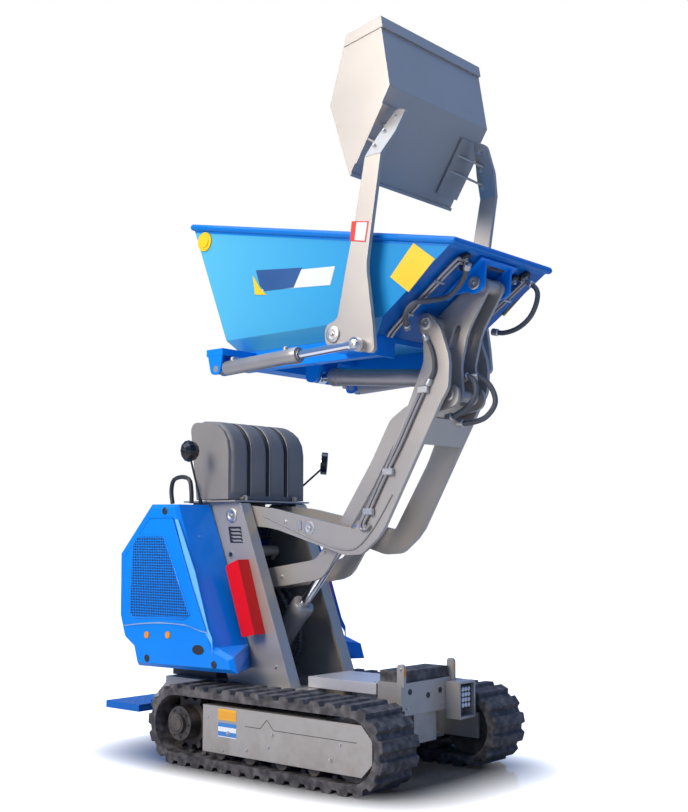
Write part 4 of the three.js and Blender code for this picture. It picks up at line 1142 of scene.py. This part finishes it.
def shovel_fittings():
    """Cutting strip round the mouth: a plate across the back edge and one down each cheek."""
    a, b = np.array([0.535, 2.466]), np.array([0.5415, 2.428])
    normal = np.array([0.987, 0.162]) * 0.007
    half = 0.2835
    parts = [plate([a, b, b + normal, a + normal], -half, half, 0.001)]
    cheek = [(0.3925, 2.4435), (0.541, 2.467), (0.547, 2.43), (0.3815, 2.404)]
    for side in (-1, 1):
        parts.append(plate(cheek, side * 0.2812, side * 0.2842, 0.0008))
    piece("cutting_strip", parts, grey, "loader")
    a, b = np.array([0.4065, 1.9585]), np.array([0.4125, 1.968])
    out = np.array([0.8436, -0.537]) * 0.005
    piece("back_lip", [plate([a, b, b + out, a + out], -half, half, 0.001)], grey, "loader")


shovel_fittings()


# Hydraulic hoses: black braided rubber with crimped ends. Each is a short loop clamped at
# both ends to one body, so that it moves with that body.


def hose_rubber():
    recipe = Recipe("hose_rubber", {"Specular IOR Level": 0.5})
    place = recipe.node("ShaderNodeTexCoord", output="Object")
    weave = recipe.node("ShaderNodeTexWave", {"wave_type": "BANDS"},
                        {"Vector": place, "Scale": 220.0}, output=1)
    colour = recipe.blend(weave, (0.05, 0.052, 0.058, 1), (0.15, 0.155, 0.165, 1))
    return recipe.feed(base_color=colour, roughness=0.38 + weave * 0.2,
                       normal=recipe.bump(weave, 0.0004, 0.5))


hose_black = hose_rubber()


def hose(name, knots, radius, body):
    """Hose along a smooth curve through its knots, with a crimped sleeve turned round each end."""
    path = curve_points(knots, 10)
    crimp = [(0, radius * 1.1), (0.002, radius * 1.45), (0.022, radius * 1.45), (0.025, radius * 1.1)]
    ends = [turned(crimp, tip, inner - tip, 20) for tip, inner in ((path[0], path[3]), (path[-1], path[-4]))]
    piece(name, [tube(path, radius, 14)], hose_black, body)
    piece(f"{name}_ends", ends, bolt_steel, body)


skip_knots = {
    "right": [on_slope(0.378, -0.175, 0.03), (0.765, -0.146, 1.592), (0.727, -0.128, 1.566),
              (0.688, -0.135, 1.538), (0.66, -0.19, 1.522), (0.632, -0.232, 1.512), (0.596, -0.228, 1.488),
              (0.565, -0.19, 1.468), (0.54, -0.15, 1.452)],
    "left": [on_slope(0.378, 0.175, 0.03), (0.834, 0.172, 1.589), (0.833, 0.17, 1.546), (0.806, 0.17, 1.5),
             (0.76, 0.17, 1.47), (0.705, 0.17, 1.46), (0.66, 0.165, 1.468)]}
bend = [(0.59, 1.428), (0.614, 1.39), (0.627, 1.345), (0.626, 1.305), (0.6, 1.262)]
pipe_run = np.array([(0.579, 1.255), (0.53, 1.171), (0.476, 1.076), (0.404, 0.963), (0.345, 0.862),
                     (0.32, 0.822), (0.325, 0.8), (0.345, 0.815)])
weld = [(-0.14, 0.85), (-0.088, 0.832), (0.024, 0.793), (0.136, 0.757), (0.232, 0.734), (0.3, 0.742),
        (0.364, 0.798), (0.41, 0.857), (0.45, 0.915)]
for side, name in hands:
    hose(f"skip_hose_{name}", skip_knots[name], 0.0085, "skip")
    y = side * 0.1245
    hose(f"boom_hose_{name}", in_plane(bend, y), 0.0068, "boom")
    runs = [tube(curve_points(in_plane(pipe_run + (shift, 0), y), 8), 0.0055, 12) for shift in (0, 0.015)]
    runs.append(tube(curve_points(in_plane(weld, side * 0.1192), 8), 0.0022, 10))
    piece(f"boom_pipes_{name}", runs, silver, "boom")
    blocks = [block((x - 0.012, y - 0.007, z - 0.012), (x + 0.03, y + 0.0065, z + 0.012), 0.002)
              for x, z in ((0.575, 1.25), (0.43, 0.99), (0.345, 0.86))]
    piece(f"pipe_clamps_{name}", blocks, bolt_steel, "boom")
hose("coupler_loop_right", [(0.6, -0.02, 1.165), (0.64, -0.02, 1.172), (0.69, -0.02, 1.2),
                            (0.718, -0.02, 1.239), (0.712, -0.02, 1.275), (0.685, -0.015, 1.295),
                            (0.662, -0.012, 1.29)], 0.009, "coupler")
hose("coupler_loop_left", [(0.61, 0.024, 1.15), (0.66, 0.03, 1.148), (0.715, 0.04, 1.165),
                           (0.748, 0.045, 1.21), (0.735, 0.04, 1.262), (0.7, 0.028, 1.296),
                           (0.672, 0.018, 1.3)], 0.009, "coupler")
